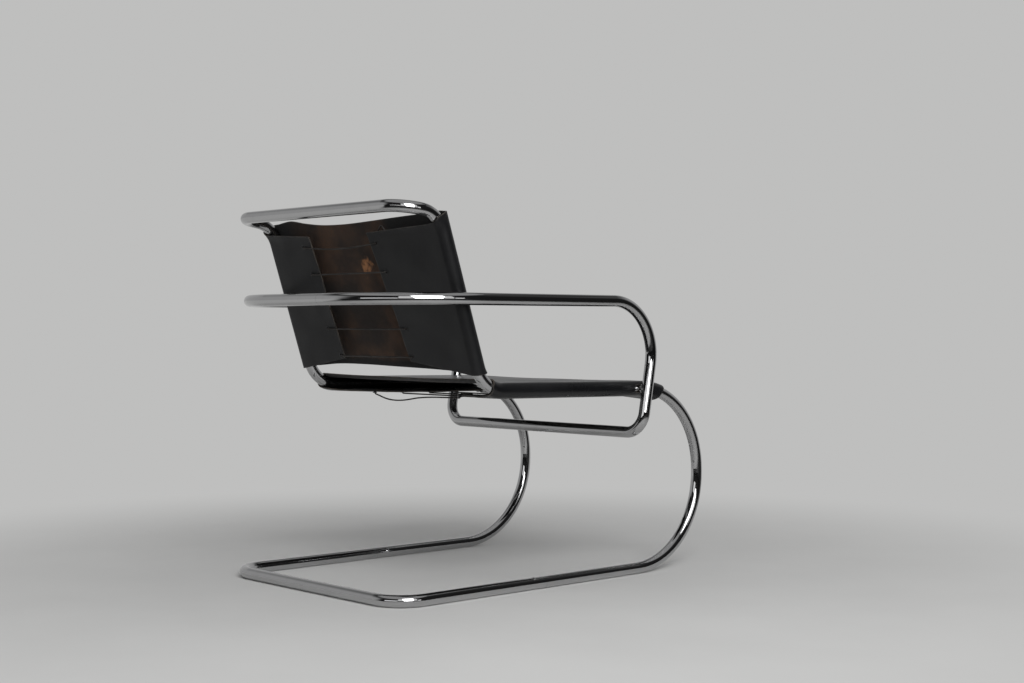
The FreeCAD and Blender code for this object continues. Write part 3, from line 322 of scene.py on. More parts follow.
# Black hide with a finished face
leatherLook = {
    "dark": (0.0046, 0.0047, 0.0055),
    "light": (0.0080, 0.0081, 0.0091),
    # colour of the painted highlight along cut edges, mixed into the face near an edge
    "edge": (0.040, 0.036, 0.034),
    "roughness": (0.38, 0.58),
    "shine": 0.30,
    "pebble": 780.0,
    "grainHeight": 0.00022,
    "bump": 0.55,
    "patchFrom": (0.3, 0.7),
    "edgeBand": (0.0008, 0.0030),      # distance from a cut edge
    "edgeHighlightShare": 0.8,
    "highlightBreakScale": 60.0,
    "highlightBreakFrom": (0.35, 0.7),
    "foldPolish": 0.04,
    "dust": 0.10,
    "dustScale": 14.0,
    "dustAmount": 0.7,
}


def makeLeather(name, look, creaseAmount=0.35):
    mat, tree, bsdf = newMaterial(name)
    at = objectPlace(tree)
    grain = placeGroup(tree, grainGroup, at, Pebble=look["pebble"], Crease=creaseAmount)
    wear = placeGroup(tree, wearGroup, at, Scale=look["dustScale"], Amount=look["dustAmount"])
    # Painted highlight: near a cut edge the face is lightened towards the edge colour, broken up by noise
    edge = addRange(tree, readAttribute(tree, "edgeDistance"), *look["edgeBand"], 1.0, 0.0)
    wearTintAndHighlightBreak = addRange(tree, noise(tree, at, look["highlightBreakScale"], 4.0), *look["highlightBreakFrom"])
    edgeHighlightMask = addMath(tree, "MULTIPLY", edge, wearTintAndHighlightBreak, clamp=True)
    patch = addRange(tree, grain.outputs["Patch"], *look["patchFrom"])
    base = addMix(tree, patch, look["dark"], look["light"])
    paintedHighlight = addMix(tree, addMath(tree, "MULTIPLY", edgeHighlightMask, look["edgeHighlightShare"]), base, look["edge"])
    tree.links.new(paintedHighlight, bsdf.inputs["Base Color"])
    fold = readAttribute(tree, "fold")
    dull = addRange(tree, grain.outputs["Patch"], 0.25, 0.75, *look["roughness"], False)
    polished = addMath(tree, "SUBTRACT", dull, addMath(tree, "MULTIPLY", fold, look["foldPolish"]))
    dust = addMath(tree, "MULTIPLY", wear.outputs["Mask"], look["dust"])
    dusty = addMath(tree, "ADD", polished, dust, clamp=True)
    tree.links.new(dusty, bsdf.inputs["Roughness"])
    bsdf.inputs["Specular IOR Level"].default_value = look["shine"]
    addBump(tree, grain.outputs["Height"], look["bump"], look["grainHeight"], bsdf)
    return mat


# Raw underside of the hide, oiled brown
fleshLook = {
    "dark": (0.014, 0.0090, 0.0068),
    "light": (0.074, 0.037, 0.0195),
    # darker colour, below a height and away from the brown strip's middle
    "darkerColour": (0.0062, 0.0058, 0.0058),
    "darkerBelow": (0.488, 0.468),    # height above the floor
    "darkerMiddle": 0.070,            # the brown strip's middle, across the chair
    "darkerFrom": (0.120, 0.200),     # distance from there
    # painted glint: a warm orange spot on the flesh side, with a ragged outline
    "paintedHighlight": (0.40, 0.18, 0.075),
    "glintPlace": (-0.005, 0.2757, 0.667),
    "glintReach": 0.0221,
    "glintShare": 0.85,
    "raggedScale": 95.0,
    "ragged": 0.05,
    "unevenScale": 18.0,
    "uneven": 0.08,           # of the darker zone's sides
    "unevenFoot": 0.3,        # share of that at its foot
    "patchFrom": (0.38, 0.66),
    "fibreScale": 160.0,
    "fibreFrom": (0.2, 0.8),
    "roughness": (0.72, 0.92),
    "shine": 0.25,
    "sheen": 0.08,
    "pebble": 420.0,
    "crease": 0.15,
    "bump": 0.6,
    "napHeight": 0.0004,
}


def makeFlesh(name, look):
    mat, tree, bsdf = newMaterial(name)
    at = objectPlace(tree)
    grain = placeGroup(tree, grainGroup, at, Pebble=look["pebble"], Crease=look["crease"], Nap=1.0)
    patch = addRange(tree, grain.outputs["Patch"], *look["patchFrom"])
    fibre = noise(tree, at, look["fibreScale"], 5.0, 0.7)
    fibreShare = addRange(tree, fibre, *look["fibreFrom"], 0.5, 1.0)
    share = addMath(tree, "MULTIPLY", patch, fibreShare, clamp=True)
    base = addMix(tree, share, look["dark"], look["light"])
    # Painted glint: a bright orange spot at a set place on the flesh side, its outline made ragged by
    # noise
    away = addNode(tree, "ShaderNodeVectorMath", operation="DISTANCE")
    tree.links.new(at, away.inputs[0])
    away.inputs[1].default_value = look["glintPlace"]
    ragged = addMath(tree, "SUBTRACT", noise(tree, at, look["raggedScale"], 4.0), 0.5)
    ragged = addMath(tree, "MULTIPLY", ragged, look["ragged"])
    spread = addMath(tree, "ADD", away.outputs["Value"], ragged)
    glintMask = addRange(tree, spread, 0.0, look["glintReach"], look["glintShare"], 0.0)
    # Darker below a height and away from the brown strip's middle, with uneven sides
    parts = addNode(tree, "ShaderNodeSeparateXYZ")
    tree.links.new(at, parts.inputs[0])
    uneven = addMath(tree, "SUBTRACT", noise(tree, at, look["unevenScale"], 4.0), 0.5)
    uneven = addMath(tree, "MULTIPLY", uneven, look["uneven"])
    offMiddle = addMath(tree, "SUBTRACT", parts.outputs["X"], look["darkerMiddle"])
    aside = addMath(tree, "ADD", addMath(tree, "ABSOLUTE", offMiddle), uneven)
    darkerAside = addRange(tree, aside, *look["darkerFrom"])
    high = addMath(tree, "ADD", parts.outputs["Z"], addMath(tree, "MULTIPLY", uneven, look["unevenFoot"]))
    darkerLow = addRange(tree, high, look["darkerBelow"][1], look["darkerBelow"][0], 1.0, 0.0)
    darkerShare = addMath(tree, "MAXIMUM", darkerAside, darkerLow)
    darkened = addMix(tree, darkerShare, base, look["darkerColour"])
    tree.links.new(addMix(tree, glintMask, darkened, look["paintedHighlight"]), bsdf.inputs["Base Color"])
    rough = addRange(tree, fibre, *look["fibreFrom"], *look["roughness"], False)
    tree.links.new(rough, bsdf.inputs["Roughness"])
    bsdf.inputs["Specular IOR Level"].default_value = look["shine"]
    bsdf.inputs["Sheen Weight"].default_value = look["sheen"]
    addBump(tree, grain.outputs["Height"], look["bump"], look["napHeight"], bsdf)
    return mat


# Cut edge of the hide, dyed and burnished
cutLook = {
    "dark": (0.026, 0.023, 0.020),
    "light": (0.070, 0.058, 0.048),
    "layerScale": 380.0,
    "patchScale": 40.0,
    "roughness": (0.40, 0.70),
    "bump": 0.5,
    "layerHeight": 0.0003,
}


def makeCutEdge(name, look):
    mat, tree, bsdf = newMaterial(name)
    at = objectPlace(tree)
    layers = noise(tree, at, look["layerScale"], 4.0, 0.7)
    patches = addRange(tree, noise(tree, at, look["patchScale"], 3.0), 0.35, 0.65)
    base = addMix(tree, patches, look["dark"], look["light"])
    tree.links.new(base, bsdf.inputs["Base Color"])
    tree.links.new(addRange(tree, layers, 0.2, 0.8, *look["roughness"], False), bsdf.inputs["Roughness"])
    addBump(tree, layers, look["bump"], look["layerHeight"], bsdf)
    return mat


# Plain metals of the small parts
steelLook = {
    "wearScale": 300.0,
    "wearAmount": 0.6,
    "wornShade": 0.6,
    "wornRoughness": 0.18,    # added where it is worn
    "bump": 0.4,
    "wearHeight": 0.00005,
}


def makeSteel(name, look, color, roughness, metallic=1.0):
    mat, tree, bsdf = newMaterial(name)
    at = objectPlace(tree)
    wear = placeGroup(tree, wearGroup, at, Scale=look["wearScale"], Amount=look["wearAmount"])
    wearTintAndHighlightBreak = tuple(look["wornShade"] * c for c in color)
    tree.links.new(addMix(tree, wear.outputs["Mask"], color, wearTintAndHighlightBreak), bsdf.inputs["Base Color"])
    rough = addRange(tree, wear.outputs["Mask"], 0, 1, roughness, roughness + look["wornRoughness"], False)
    tree.links.new(rough, bsdf.inputs["Roughness"])
    bsdf.inputs["Metallic"].default_value = metallic
    addBump(tree, wear.outputs["Height"], look["bump"], look["wearHeight"], bsdf)
    return mat


tubeChrome = makeChrome("tubeChrome", chromeLook, 0.35)
hardwareChrome = makeChrome("hardwareChrome", chromeLook, 0.55)
insertSteel = makeSteel("insertSteel", steelLook, (0.36, 0.36, 0.37), 0.34)
eyeletBlack = makeSteel("eyeletBlack", steelLook, (0.030, 0.030, 0.032), 0.38, metallic=0.6)
leatherFace = makeLeather("leatherFace", leatherLook)
seatFace = makeLeather("seatFace", dict(leatherLook, roughness=(0.24, 0.40), shine=0.36), 0.15)
leatherRaw = makeFlesh("leatherRaw", fleshLook)
# The seat's underside takes the darker colour all over, and its painted glint is made too small to show
seatRaw = makeFlesh("seatRaw", dict(fleshLook, darkerColour=(0.0120, 0.0105, 0.0100), darkerBelow=(0.9, 0.8),
                                    glintReach=0.00017))
leatherEdge = makeCutEdge("leatherEdge", cutLook)
laceLook = dict(leatherLook, dark=(0.009, 0.0078, 0.0070), light=(0.022, 0.018, 0.015))
laceLeather = makeLeather("laceLeather", laceLook, 0.2)
print("materials ready")


# CAD parts that keep their own shape
def dressNode(name, material):
    mesh = nodes[name].data
    mesh.materials.clear()
    mesh.materials.append(material)


for name in nodes:
    if "insert" in name or "spigot" in name or "plug" in name:
        dressNode(name, insertSteel)
    elif name.startswith("frame_") or name.startswith("arm_tube"):
        dressNode(name, tubeChrome)
    else:
        dressNode(name, hardwareChrome)


# Slings. Every sheet is worked out in its own frame: x across the chair, y off the tubes
# towards the sitter, and a run along the tubes.
sling = {
    "thick": 0.003,
    "gap": 0.0008,            # tube to the inside of the leather
    "slack": 0.0008,
    "holeRadius": 0.0038,
    "edgeRound": 0.0007,
    "edgeAngle": 60.0,        # edges sharper than this are rounded
    "foldBand": 0.05,         # polished leather beside a tube
    "stillBand": (0.055, 0.005),       # beside a tube the waves die out between these
}

insideRadius = tubeRadius + sling["gap"]
midRadius = insideRadius + sling["thick"] / 2


def smooth(x, low, high):
    t = np.clip((x - low) / (high - low), 0, 1)
    return t * t * (3 - 2 * t)


def easy(x, points):
    # Smooth line through a few chosen points, flat at none of them but without corners
    xs = np.array([p[0] for p in points], float)
    ys = np.array([p[1] for p in points], float)
    slopes = np.gradient(ys, xs)
    k = np.clip(np.searchsorted(xs, x) - 1, 0, len(xs) - 2)
    width = xs[k + 1] - xs[k]
    t = np.clip((x - xs[k]) / width, 0, 1)
    a = (1 + 2 * t) * (1 - t) ** 2
    b = t * (1 - t) ** 2
    c = t * t * (3 - 2 * t)
    d = t * t * (t - 1)
    return a * ys[k] + b * width * slopes[k] + c * ys[k + 1] + d * width * slopes[k + 1]


def placeBack(x, y, t):
    return np.stack([
        x,
        chair["footReach"] - y * math.cos(lean) + t * math.sin(lean),
        footHeight + y * math.sin(lean) + t * math.cos(lean),
    ], -1)


def placeSeat(x, y, s):
    # The run follows the rail, up into the foot bend behind and down into the front bend
    straightEnd = railRun - railTangent
    rear = np.clip((footTangent - s) / chair["footBend"], 0, None)
    front = np.clip((s - straightEnd) / chair["upperBend"], 0, None)
    mid = np.clip(s, footTangent, straightEnd)
    turnUp = chair["footBend"] * (1 - np.cos(rear))
    turnDown = chair["upperBend"] * (1 - np.cos(front))
    lift = turnUp - turnDown + y * np.cos(rear + front)
    run = (mid - chair["footBend"] * np.sin(rear) + chair["upperBend"] * np.sin(front)
           + y * np.sin(rear + front))
    return np.stack([
        x,
        chair["footReach"] - lift * math.sin(slope) - run * math.cos(slope),
        footHeight + lift * math.cos(slope) - run * math.sin(slope),
    ], -1)


def bendShift(radius, climb):
    face = radius - tubeRadius
    climb = np.clip(climb, 0, face * 0.98)
    return face - np.sqrt(face * face - climb * climb)


# A sheet hangs between its tubes as a shallow arc that leaves them at the dip angle
def sheetArc(dipAngle):
    dip = math.radians(dipAngle)
    far = chair["railHalf"] / math.sin(dip)
    return {
        "dipAngle": dipAngle,
        "radius": far - midRadius,
        "rise": far * math.cos(dip),
        "half": chair["railHalf"] - midRadius * math.sin(dip),
    }


def sectionPoint(arc, zone, side, across, frontY, rearY):
    half = chair["railHalf"]
    if zone == "flap":
        return across, rearY - midRadius, 0 * across, 0 * across - 1
    if zone == "sleeve":
        turn = np.radians(across)
        share = smooth(across, -30, 30)
        centre = rearY + (frontY - rearY) * share
        return (side * (half + midRadius * np.cos(turn)), centre + midRadius * np.sin(turn),
                side * np.cos(turn), np.sin(turn))
    high = frontY + arc["rise"]
    y = high - np.sqrt(arc["radius"] ** 2 - across ** 2)
    return across, y, -across / arc["radius"], (high - y) / arc["radius"]


# Every column of a sheet: its zone and side, its places across and its places along the run
def sheetColumns(arc, spec):
    rows = spec["rowSteps"] + 1
    share = np.linspace(0, 1, rows)
    zones = [("flap", 1, spec["flapSteps"]), ("sleeve", 1, spec["sleeveSteps"]),
             ("sheet", 0, spec["sheetSteps"]), ("sleeve", -1, spec["sleeveSteps"]),
             ("flap", -1, spec["flapSteps"])]
    columns = []
    for zone, side, steps in zones:
        for k in range(0 if not columns else 1, steps + 1):
            q = k / steps
            if zone == "flap":
                low, high = spec["flapEnds"](side, 1 - q if side > 0 else q)
                across = low[0] + (high[0] - low[0]) * share
                first, last = low[1], high[1]
            elif zone == "sleeve":
                turn = -90 + (180 + arc["dipAngle"]) * (q if side > 0 else 1 - q)
                flapLow, flapHigh = spec["flapEnds"](side, 0)
                sheetLow, sheetHigh = spec["sheetEnds"](side * chair["railHalf"])
                blend = smooth(turn, -100, 40)
                across = np.full(rows, turn)
                first = flapLow[1] + (sheetLow - flapLow[1]) * blend
                last = flapHigh[1] + (sheetHigh - flapHigh[1]) * blend
            else:
                x = arc["half"] * (1 - 2 * q)
                across = np.full(rows, x)
                first, last = spec["sheetEnds"](x)
            columns.append((zone, side, across, first + (last - first) * share))
    return columns


# Cells inside a hole are named, and the corners on its rim move on to the outline
def cutHole(across, run, outline, unit):
    gap = outline(across, run)
    inside = (gap[:-1, :-1] + gap[1:, :-1] + gap[:-1, 1:] + gap[1:, 1:]) / 4 < 0
    wide, high = gap.shape
    touched = np.zeros(gap.shape, bool)
    kept = np.zeros(gap.shape, bool)
    for a in (0, 1):
        for b in (0, 1):
            touched[a:wide - 1 + a, b:high - 1 + b] |= inside
            kept[a:wide - 1 + a, b:high - 1 + b] |= ~inside
    rim = touched & kept
    step = 1e-5
    for _ in range(3):
        d = outline(across, run)
        da = (outline(across + step * unit, run) - d) / step
        ds = (outline(across, run + step) - d) / step
        size = np.maximum(da * da + ds * ds, 1e-6)
        across[rim] -= (unit * d * da / size)[rim]
        run[rim] -= (d * ds / size)[rim]
    return inside


# Quads of the outer face, the inner face and the cut edges, with the material of each
def sheetFaces(present):
    wide, high = present.shape
    index = np.arange((wide + 1) * (high + 1)).reshape(wide + 1, high + 1)
    total = index.size
    faces, kinds = [], []
    for i, j in zip(*np.nonzero(present)):
        a, b, c, d = index[i, j], index[i + 1, j], index[i + 1, j + 1], index[i, j + 1]
        faces += [(a, b, c, d), (a + total, d + total, c + total, b + total)]
        kinds += [0, 1]
        for m, n, p, q in ((i, j - 1, a, b), (i + 1, j, b, c), (i, j + 1, c, d), (i - 1, j, d, a)):
            if 0 <= m < wide and 0 <= n < high and present[m, n]:
                continue
            faces.append((q, p, p + total, q + total))
            kinds.append(2)
    return faces, kinds


def buildSheet(name, spec):
    arc = sheetArc(spec["dipAngle"])
    half = chair["railHalf"]
    columns = sheetColumns(arc, spec)
    zones = [c[0] for c in columns]
    sides = [c[1] for c in columns]
    across = np.array([c[2] for c in columns])
    run = np.array([c[3] for c in columns])
    # Distance to the nearest cut edge
    edge = np.minimum(run - run[:, :1], run[:, -1:] - run)
    for i, zone in enumerate(zones):
        if zone == "flap":
            rim = across[0] if sides[i] > 0 else across[-1]
            edge[i] = np.minimum(edge[i], np.abs(across[i] - rim))
    present = np.ones((run.shape[0] - 1, run.shape[1] - 1), bool)
    for zone, side, outline in spec["holes"]:
        own = [i for i in range(len(zones)) if zones[i] == zone and sides[i] == side]
        part = slice(own[0], own[-1] + 1)
        unit = 1.0 if zone == "flap" else math.degrees(1 / midRadius)
        present[own[0]:own[-1]] &= ~cutHole(across[part], run[part], outline, unit)
        edge[part] = np.minimum(edge[part], np.maximum(outline(across[part], run[part]), 0))
    outer = np.zeros((*run.shape, 3))
    inner = np.zeros((*run.shape, 3))
    fold = np.zeros(run.shape)
    t = sling["thick"] / 2
    for i, zone in enumerate(zones):
        s = run[i]
        x, y, nx, ny = sectionPoint(arc, zone, sides[i], across[i], spec["frontY"](s), spec["rearY"](s))
        wave = spec["wave"](zone, x, s)
        x = x + nx * wave
        y = y + ny * wave
        outer[i] = spec["place"](x + nx * t, y + ny * t, s)
        inner[i] = spec["place"](x - nx * t, y - ny * t, s)
        fold[i] = 1.0 if zone == "sleeve" else smooth(np.abs(x), half - sling["foldBand"], half)
    faces, kinds = sheetFaces(present)
    mesh = bpy.data.meshes.new(name)
    verts = np.concatenate([outer.reshape(-1, 3), inner.reshape(-1, 3)])
    mesh.from_pydata(verts.tolist(), [], faces)
    mesh.polygons.foreach_set("material_index", kinds)
    mesh.polygons.foreach_set("use_smooth", [True] * len(faces))
    for attribute, values in (("edgeDistance", edge), ("fold", fold)):
        layer = mesh.attributes.new(attribute, "FLOAT", "POINT")
        layer.data.foreach_set("value", np.tile(values.reshape(-1), 2).astype(np.float32))
    for material in spec["materials"]:
        mesh.materials.append(material)
    bm = bmesh.new()
    bm.from_mesh(mesh)
    loose = [v for v in bm.verts if not v.link_faces]
    bmesh.ops.delete(bm, geom=loose, context="VERTS")
    bmesh.ops.recalc_face_normals(bm, faces=bm.faces)
    bm.to_mesh(mesh)
    bm.free()
    obj = bpy.data.objects.new(name, mesh)
    bpy.context.scene.collection.objects.link(obj)
    edges = obj.modifiers.new("cutEdges", "BEVEL")
    edges.width = sling["edgeRound"]
    edges.segments = 2
    edges.limit_method = "ANGLE"
    edges.angle_limit = math.radians(sling["edgeAngle"])
    return obj


def bakeModifiers(obj):
    depsgraph = bpy.context.evaluated_depsgraph_get()
    mesh = bpy.data.meshes.new_from_object(obj.evaluated_get(depsgraph), depsgraph=depsgraph)
    old = obj.data
    obj.modifiers.clear()
    obj.data = mesh
    bpy.data.meshes.remove(old)
    mesh.name = obj.name
    return obj


# Back sling
back = {
    "dipAngle": 3.0,
    "flapSteps": 56,
    "sleeveSteps": 20,
    "sheetSteps": 96,
    "rowSteps": 110,
    # top and bottom of the front sheet: place across, height along the uprights
    "topLine": [(-0.300, 0.3655), (-0.283, 0.3686), (-0.199, 0.3661), (-0.132, 0.3643), (-0.045, 0.3615),
                (0.045, 0.3595), (0.124, 0.3615), (0.179, 0.3669), (0.235, 0.3735), (0.269, 0.3706),
                (0.300, 0.3662)],
    "footLine": [(-0.300, 0.033), (-0.200, 0.037), (-0.120, 0.041), (0.0, 0.0450), (0.090, 0.0465),
                 (0.196, 0.0455), (0.264, 0.0396), (0.300, 0.037)],
    "flapTop": 0.353,
    "flapTopInner": 0.343,
    "flapFoot": {1: 0.0425, -1: 0.038},
    "flapFootInner": {1: 0.068, -1: 0.065},
    "edgeTop": {1: 0.139, -1: 0.064},     # far and near flap edges, from the middle
    "edgeFoot": {1: 0.124, -1: 0.103},
    "rowTop": 0.320,
    "rowFoot": 0.075,
    "rowCount": 5,
    "eyeletInset": {1: 0.030, -1: 0.021},
    "footInset": 0.011,
    "flapWaves": (0.0007, 0.0005),
    "sheetWaves": (0.0012, 0.0006),
    "topSlack": 0.0022,
    "topSlackFrom": (0.25, 0.37),
}


def backFlapEnds(side, p):
    half = chair["railHalf"]
    low = (side * (half + (back["edgeFoot"][side] - half) * p),
           back["flapFoot"][side] + (back["flapFootInner"][side] - back["flapFoot"][side]) * p)
    high = (side * (half + (back["edgeTop"][side] - half) * p),
            back["flapTop"] + (back["flapTopInner"] - back["flapTop"]) * p)
    return low, high


def backFlapEdge(side, t):
    foot = back["flapFootInner"][side]
    share = (t - foot) / (back["flapTopInner"] - foot)
    return back["edgeFoot"][side] + (back["edgeTop"][side] - back["edgeFoot"][side]) * share


def backEyelets(side):
    places = []
    for k in range(back["rowCount"]):
        t = back["rowTop"] + (back["rowFoot"] - back["rowTop"]) * k / (back["rowCount"] - 1)
        last = k == back["rowCount"] - 1
        inset = back["footInset"] if last else back["eyeletInset"][side]
        places.append((side * (backFlapEdge(side, t) + inset), t))
    return places


def roundHole(x, t, radius):
    def outline(across, run):
        return np.hypot(across - x, run - t) - radius
    return outline


def backFront(t):
    return sling["slack"] / 2 + bendShift(chair["footBend"], footTangent - t)


def backRear(t):
    return -sling["slack"] / 2 - bendShift(chair["topBend"], t - chair["uprightRise"] + topTangent)


def stillShare(x):
    inner, outer = sling["stillBand"]
    return 1 - smooth(np.abs(x), chair["railHalf"] - inner, chair["railHalf"] - outer)


def backWave(zone, x, t):
    if zone == "sleeve":
        return 0 * x
    if zone == "flap":
        large, small = back["flapWaves"]
        return stillShare(x) * (large * np.sin(31 * t + 17 * x + 0.6) + small * np.sin(58 * t - 23 * x))
    large, small = back["sheetWaves"]
    swell = large * np.sin(9 * x + 0.4) * np.sin(12 * t + 0.8) + small * np.sin(27 * x - 21 * t)
    slackTop = back["topSlack"] * smooth(t, *back["topSlackFrom"])
    return stillShare(x) * (swell - slackTop * np.cos(11 * (x - 0.05)))


def backSheetEnds(x):
    return float(easy(np.array(x), back["footLine"])), float(easy(np.array(x), back["topLine"]))


backHoles = []
for side in (1, -1):
    backHoles += [("flap", side, roundHole(x, t, sling["holeRadius"])) for x, t in backEyelets(side)]
backSheet = buildSheet("backSheet", dict(
    back, materials=(leatherFace, leatherRaw, leatherEdge), holes=backHoles,
    flapEnds=backFlapEnds, sheetEnds=backSheetEnds, frontY=backFront, rearY=backRear,
    wave=backWave, place=placeBack,
))
bakeModifiers(backSheet)
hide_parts("back_sling")
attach(backSheet, "root")
print("back sling ready:", len(backSheet.data.polygons), "faces")


# Seat sling
seat = {
    "dipAngle": 0.8,
    "flapSteps": 48,
    "sleeveSteps": 20,
    "sheetSteps": 96,
    "rowSteps": 150,
    "flap": 0.165,
    "rearAngle": 30.0,        # degrees into the foot bend
    "frontAngle": 17.5,       # degrees into the front bend
    "flapInset": 0.028,
    "rowRear": 0.062,
    "rowFront": 0.198,
    "rowCount": 6,
    "eyeletInset": 0.026,
    "droop": 0.009,           # of the sleeves at their front ends
    "droopFrom": (0.070, 0.015),       # before the front edge
    "bowRear": 0.004,
    "bowFront": 0.003,
    "slotLong": 0.034,
    "slotHigh": 0.015,
    "flapWaves": (0.0007, 0.0004),
    "sheetWaves": (0.0005, 0.0003),
}

seatRear = footTangent - chair["footBend"] * math.radians(seat["rearAngle"])
seatFront = railRun - railTangent + chair["upperBend"] * math.radians(seat["frontAngle"])
seatEdge = chair["railHalf"] - seat["flap"]
boltRun = (chair["footReach"] - chair["postPlace"][0]) / math.cos(slope)


def seatFlapEnds(side, p):
    first = footTangent - seat["flapInset"] + 2 * seat["flapInset"] * p
    last = railRun - railTangent + seat["flapInset"] - 2 * seat["flapInset"] * p
    x = side * (chair["railHalf"] - seat["flap"] * p)
    return (x, first), (x, last)


def seatSheetEnds(x):
    inward = 1 - (x / chair["railHalf"]) ** 2
    return seatRear + seat["bowRear"] * inward, seatFront - seat["bowFront"] * inward


def seatEyelets(side):
    x = side * (seatEdge + seat["eyeletInset"])
    front = railRun - seat["rowFront"]
    step = (front - seat["rowRear"]) / (seat["rowCount"] - 1)
    return [(x, seat["rowRear"] + step * k) for k in range(seat["rowCount"])]


def slotOutline(across, run):
    arc = np.radians(across) * midRadius
    along = np.maximum(np.abs(run - boltRun) - (seat["slotLong"] - seat["slotHigh"]) / 2, 0)
    return np.hypot(arc, along) - seat["slotHigh"] / 2


def seatWave(zone, x, s):
    if zone == "sleeve":
        return 0 * x
    if zone == "flap":
        large, small = seat["flapWaves"]
        return stillShare(x) * (large * np.sin(25 * s + 19 * x) + small * np.sin(61 * s + 0.5))
    large, small = seat["sheetWaves"]
    swell = large * np.sin(8 * x + 0.9) * np.sin(9 * s + 0.3) + small * np.sin(23 * x + 17 * s)
    return stillShare(x) * swell


def seatFrontY(s):
    return 0 * s + sling["slack"] / 2


def seatRearY(s):
    far, near = seat["droopFrom"]
    return -sling["slack"] / 2 - seat["droop"] * smooth(s, seatFront - far, seatFront - near)


def seatFlapY(s):
    return 0 * s - sling["slack"] / 2


seatHoles = []
for side in (1, -1):
    seatHoles += [("flap", side, roundHole(x, s, sling["holeRadius"])) for x, s in seatEyelets(side)]
seatHoles += [("sleeve", side, slotOutline) for side in (1, -1)]
seatSheet = buildSheet("seatSheet", dict(
    seat, materials=(seatFace, seatRaw, leatherEdge), holes=seatHoles,
    flapEnds=seatFlapEnds, sheetEnds=seatSheetEnds, frontY=seatFrontY, rearY=seatRearY,
    wave=seatWave, place=placeSeat,
))
bakeModifiers(seatSheet)
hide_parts("seat_sling")
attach(seatSheet, "root")
print("seat sling ready:", len(seatSheet.data.polygons), "faces")


# Eyelets: one tree makes a row of rolled rings from a few points
eyelet = {
    "bore": 0.006,
    "wall": 0.0005,
    "rimWidth": 0.0020,
    "rimHeight": 0.62,        # share of a round rim
    "stand": 0.0002,
    "ringSteps": 28,
    "rimSteps": 10,
    "jitter": 0.03,           # radians off square
    "seed": 7,
}


def makeEyeletTree():
    tree = bpy.data.node_groups.new("eyeletRow", "GeometryNodeTree")
    face = tree.interface
    face.new_socket("Geometry", in_out="INPUT", socket_type="NodeSocketGeometry")
    for socketName in ("Bore", "Wall", "Rim Width", "Rim Height", "Length"):
        face.new_socket(socketName, in_out="INPUT", socket_type="NodeSocketFloat")
    face.new_socket("Turn", in_out="INPUT", socket_type="NodeSocketVector")
    face.new_socket("Material", in_out="INPUT", socket_type="NodeSocketMaterial")
    face.new_socket("Geometry", in_out="OUTPUT", socket_type="NodeSocketGeometry")
    start = tree.nodes.new("NodeGroupInput")
    end = tree.nodes.new("NodeGroupOutput")
    link = tree.links.new

    def value(operation, a, b):
        node = tree.nodes.new("ShaderNodeMath")
        node.operation = operation
        for k, v in enumerate((a, b)):
            if isinstance(v, (int, float)):
                node.inputs[k].default_value = v
            else:
                link(v, node.inputs[k])
        return node.outputs[0]

    def circle(radius, steps):
        node = tree.nodes.new("GeometryNodeCurvePrimitiveCircle")
        node.inputs["Resolution"].default_value = steps
        link(radius, node.inputs["Radius"])
        return node.outputs["Curve"]

    def sweep(path, profile):
        node = tree.nodes.new("GeometryNodeCurveToMesh")
        link(path, node.inputs["Curve"])
        link(profile, node.inputs["Profile Curve"])
        return node.outputs["Mesh"]

    boreRadius = value("MULTIPLY", start.outputs["Bore"], 0.5)
    rimHalf = value("MULTIPLY", start.outputs["Rim Width"], 0.5)
    ringRadius = value("ADD", boreRadius, rimHalf)
    rim = sweep(circle(ringRadius, eyelet["ringSteps"]), circle(rimHalf, eyelet["rimSteps"]))
    flat = tree.nodes.new("ShaderNodeCombineXYZ")
    flat.inputs[0].default_value = 1
    flat.inputs[1].default_value = 1
    link(start.outputs["Rim Height"], flat.inputs[2])
    joined = tree.nodes.new("GeometryNodeJoinGeometry")
    for sign in (0.5, -0.5):
        move = tree.nodes.new("GeometryNodeTransform")
        shift = tree.nodes.new("ShaderNodeCombineXYZ")
        link(value("MULTIPLY", start.outputs["Length"], sign), shift.inputs[2])
        link(rim, move.inputs["Geometry"])
        link(flat.outputs[0], move.inputs["Scale"])
        link(shift.outputs[0], move.inputs["Translation"])
        link(move.outputs[0], joined.inputs[0])
    barrelShape = tree.nodes.new("GeometryNodeCurvePrimitiveQuadrilateral")
    link(start.outputs["Wall"], barrelShape.inputs["Width"])
    link(start.outputs["Length"], barrelShape.inputs["Height"])
    barrelRadius = value("ADD", boreRadius, value("MULTIPLY", start.outputs["Wall"], 0.5))
    link(sweep(circle(barrelRadius, eyelet["ringSteps"]), barrelShape.outputs["Curve"]), joined.inputs[0])
    spread = tree.nodes.new("GeometryNodeInstanceOnPoints")
    link(start.outputs["Geometry"], spread.inputs["Points"])
    link(joined.outputs[0], spread.inputs["Instance"])
    jitter = tree.nodes.new("FunctionNodeRandomValue")
    jitter.data_type = "FLOAT_VECTOR"
    jitter.inputs[0].default_value = (-eyelet["jitter"], -eyelet["jitter"], 0)
    jitter.inputs[1].default_value = (eyelet["jitter"], eyelet["jitter"], 0)
    jitter.inputs["Seed"].default_value = eyelet["seed"]
    turned = tree.nodes.new("ShaderNodeVectorMath")
    turned.operation = "ADD"
    link(start.outputs["Turn"], turned.inputs[0])
    link(jitter.outputs[0], turned.inputs[1])
    link(turned.outputs[0], spread.inputs["Rotation"])
    real = tree.nodes.new("GeometryNodeRealizeInstances")
    soft = tree.nodes.new("GeometryNodeSetShadeSmooth")
    paint = tree.nodes.new("GeometryNodeSetMaterial")
    link(spread.outputs[0], real.inputs[0])
    link(real.outputs[0], soft.inputs["Geometry"])
    link(soft.outputs[0], paint.inputs["Geometry"])
    link(start.outputs["Material"], paint.inputs["Material"])
    link(paint.outputs[0], end.inputs[0])
    return tree


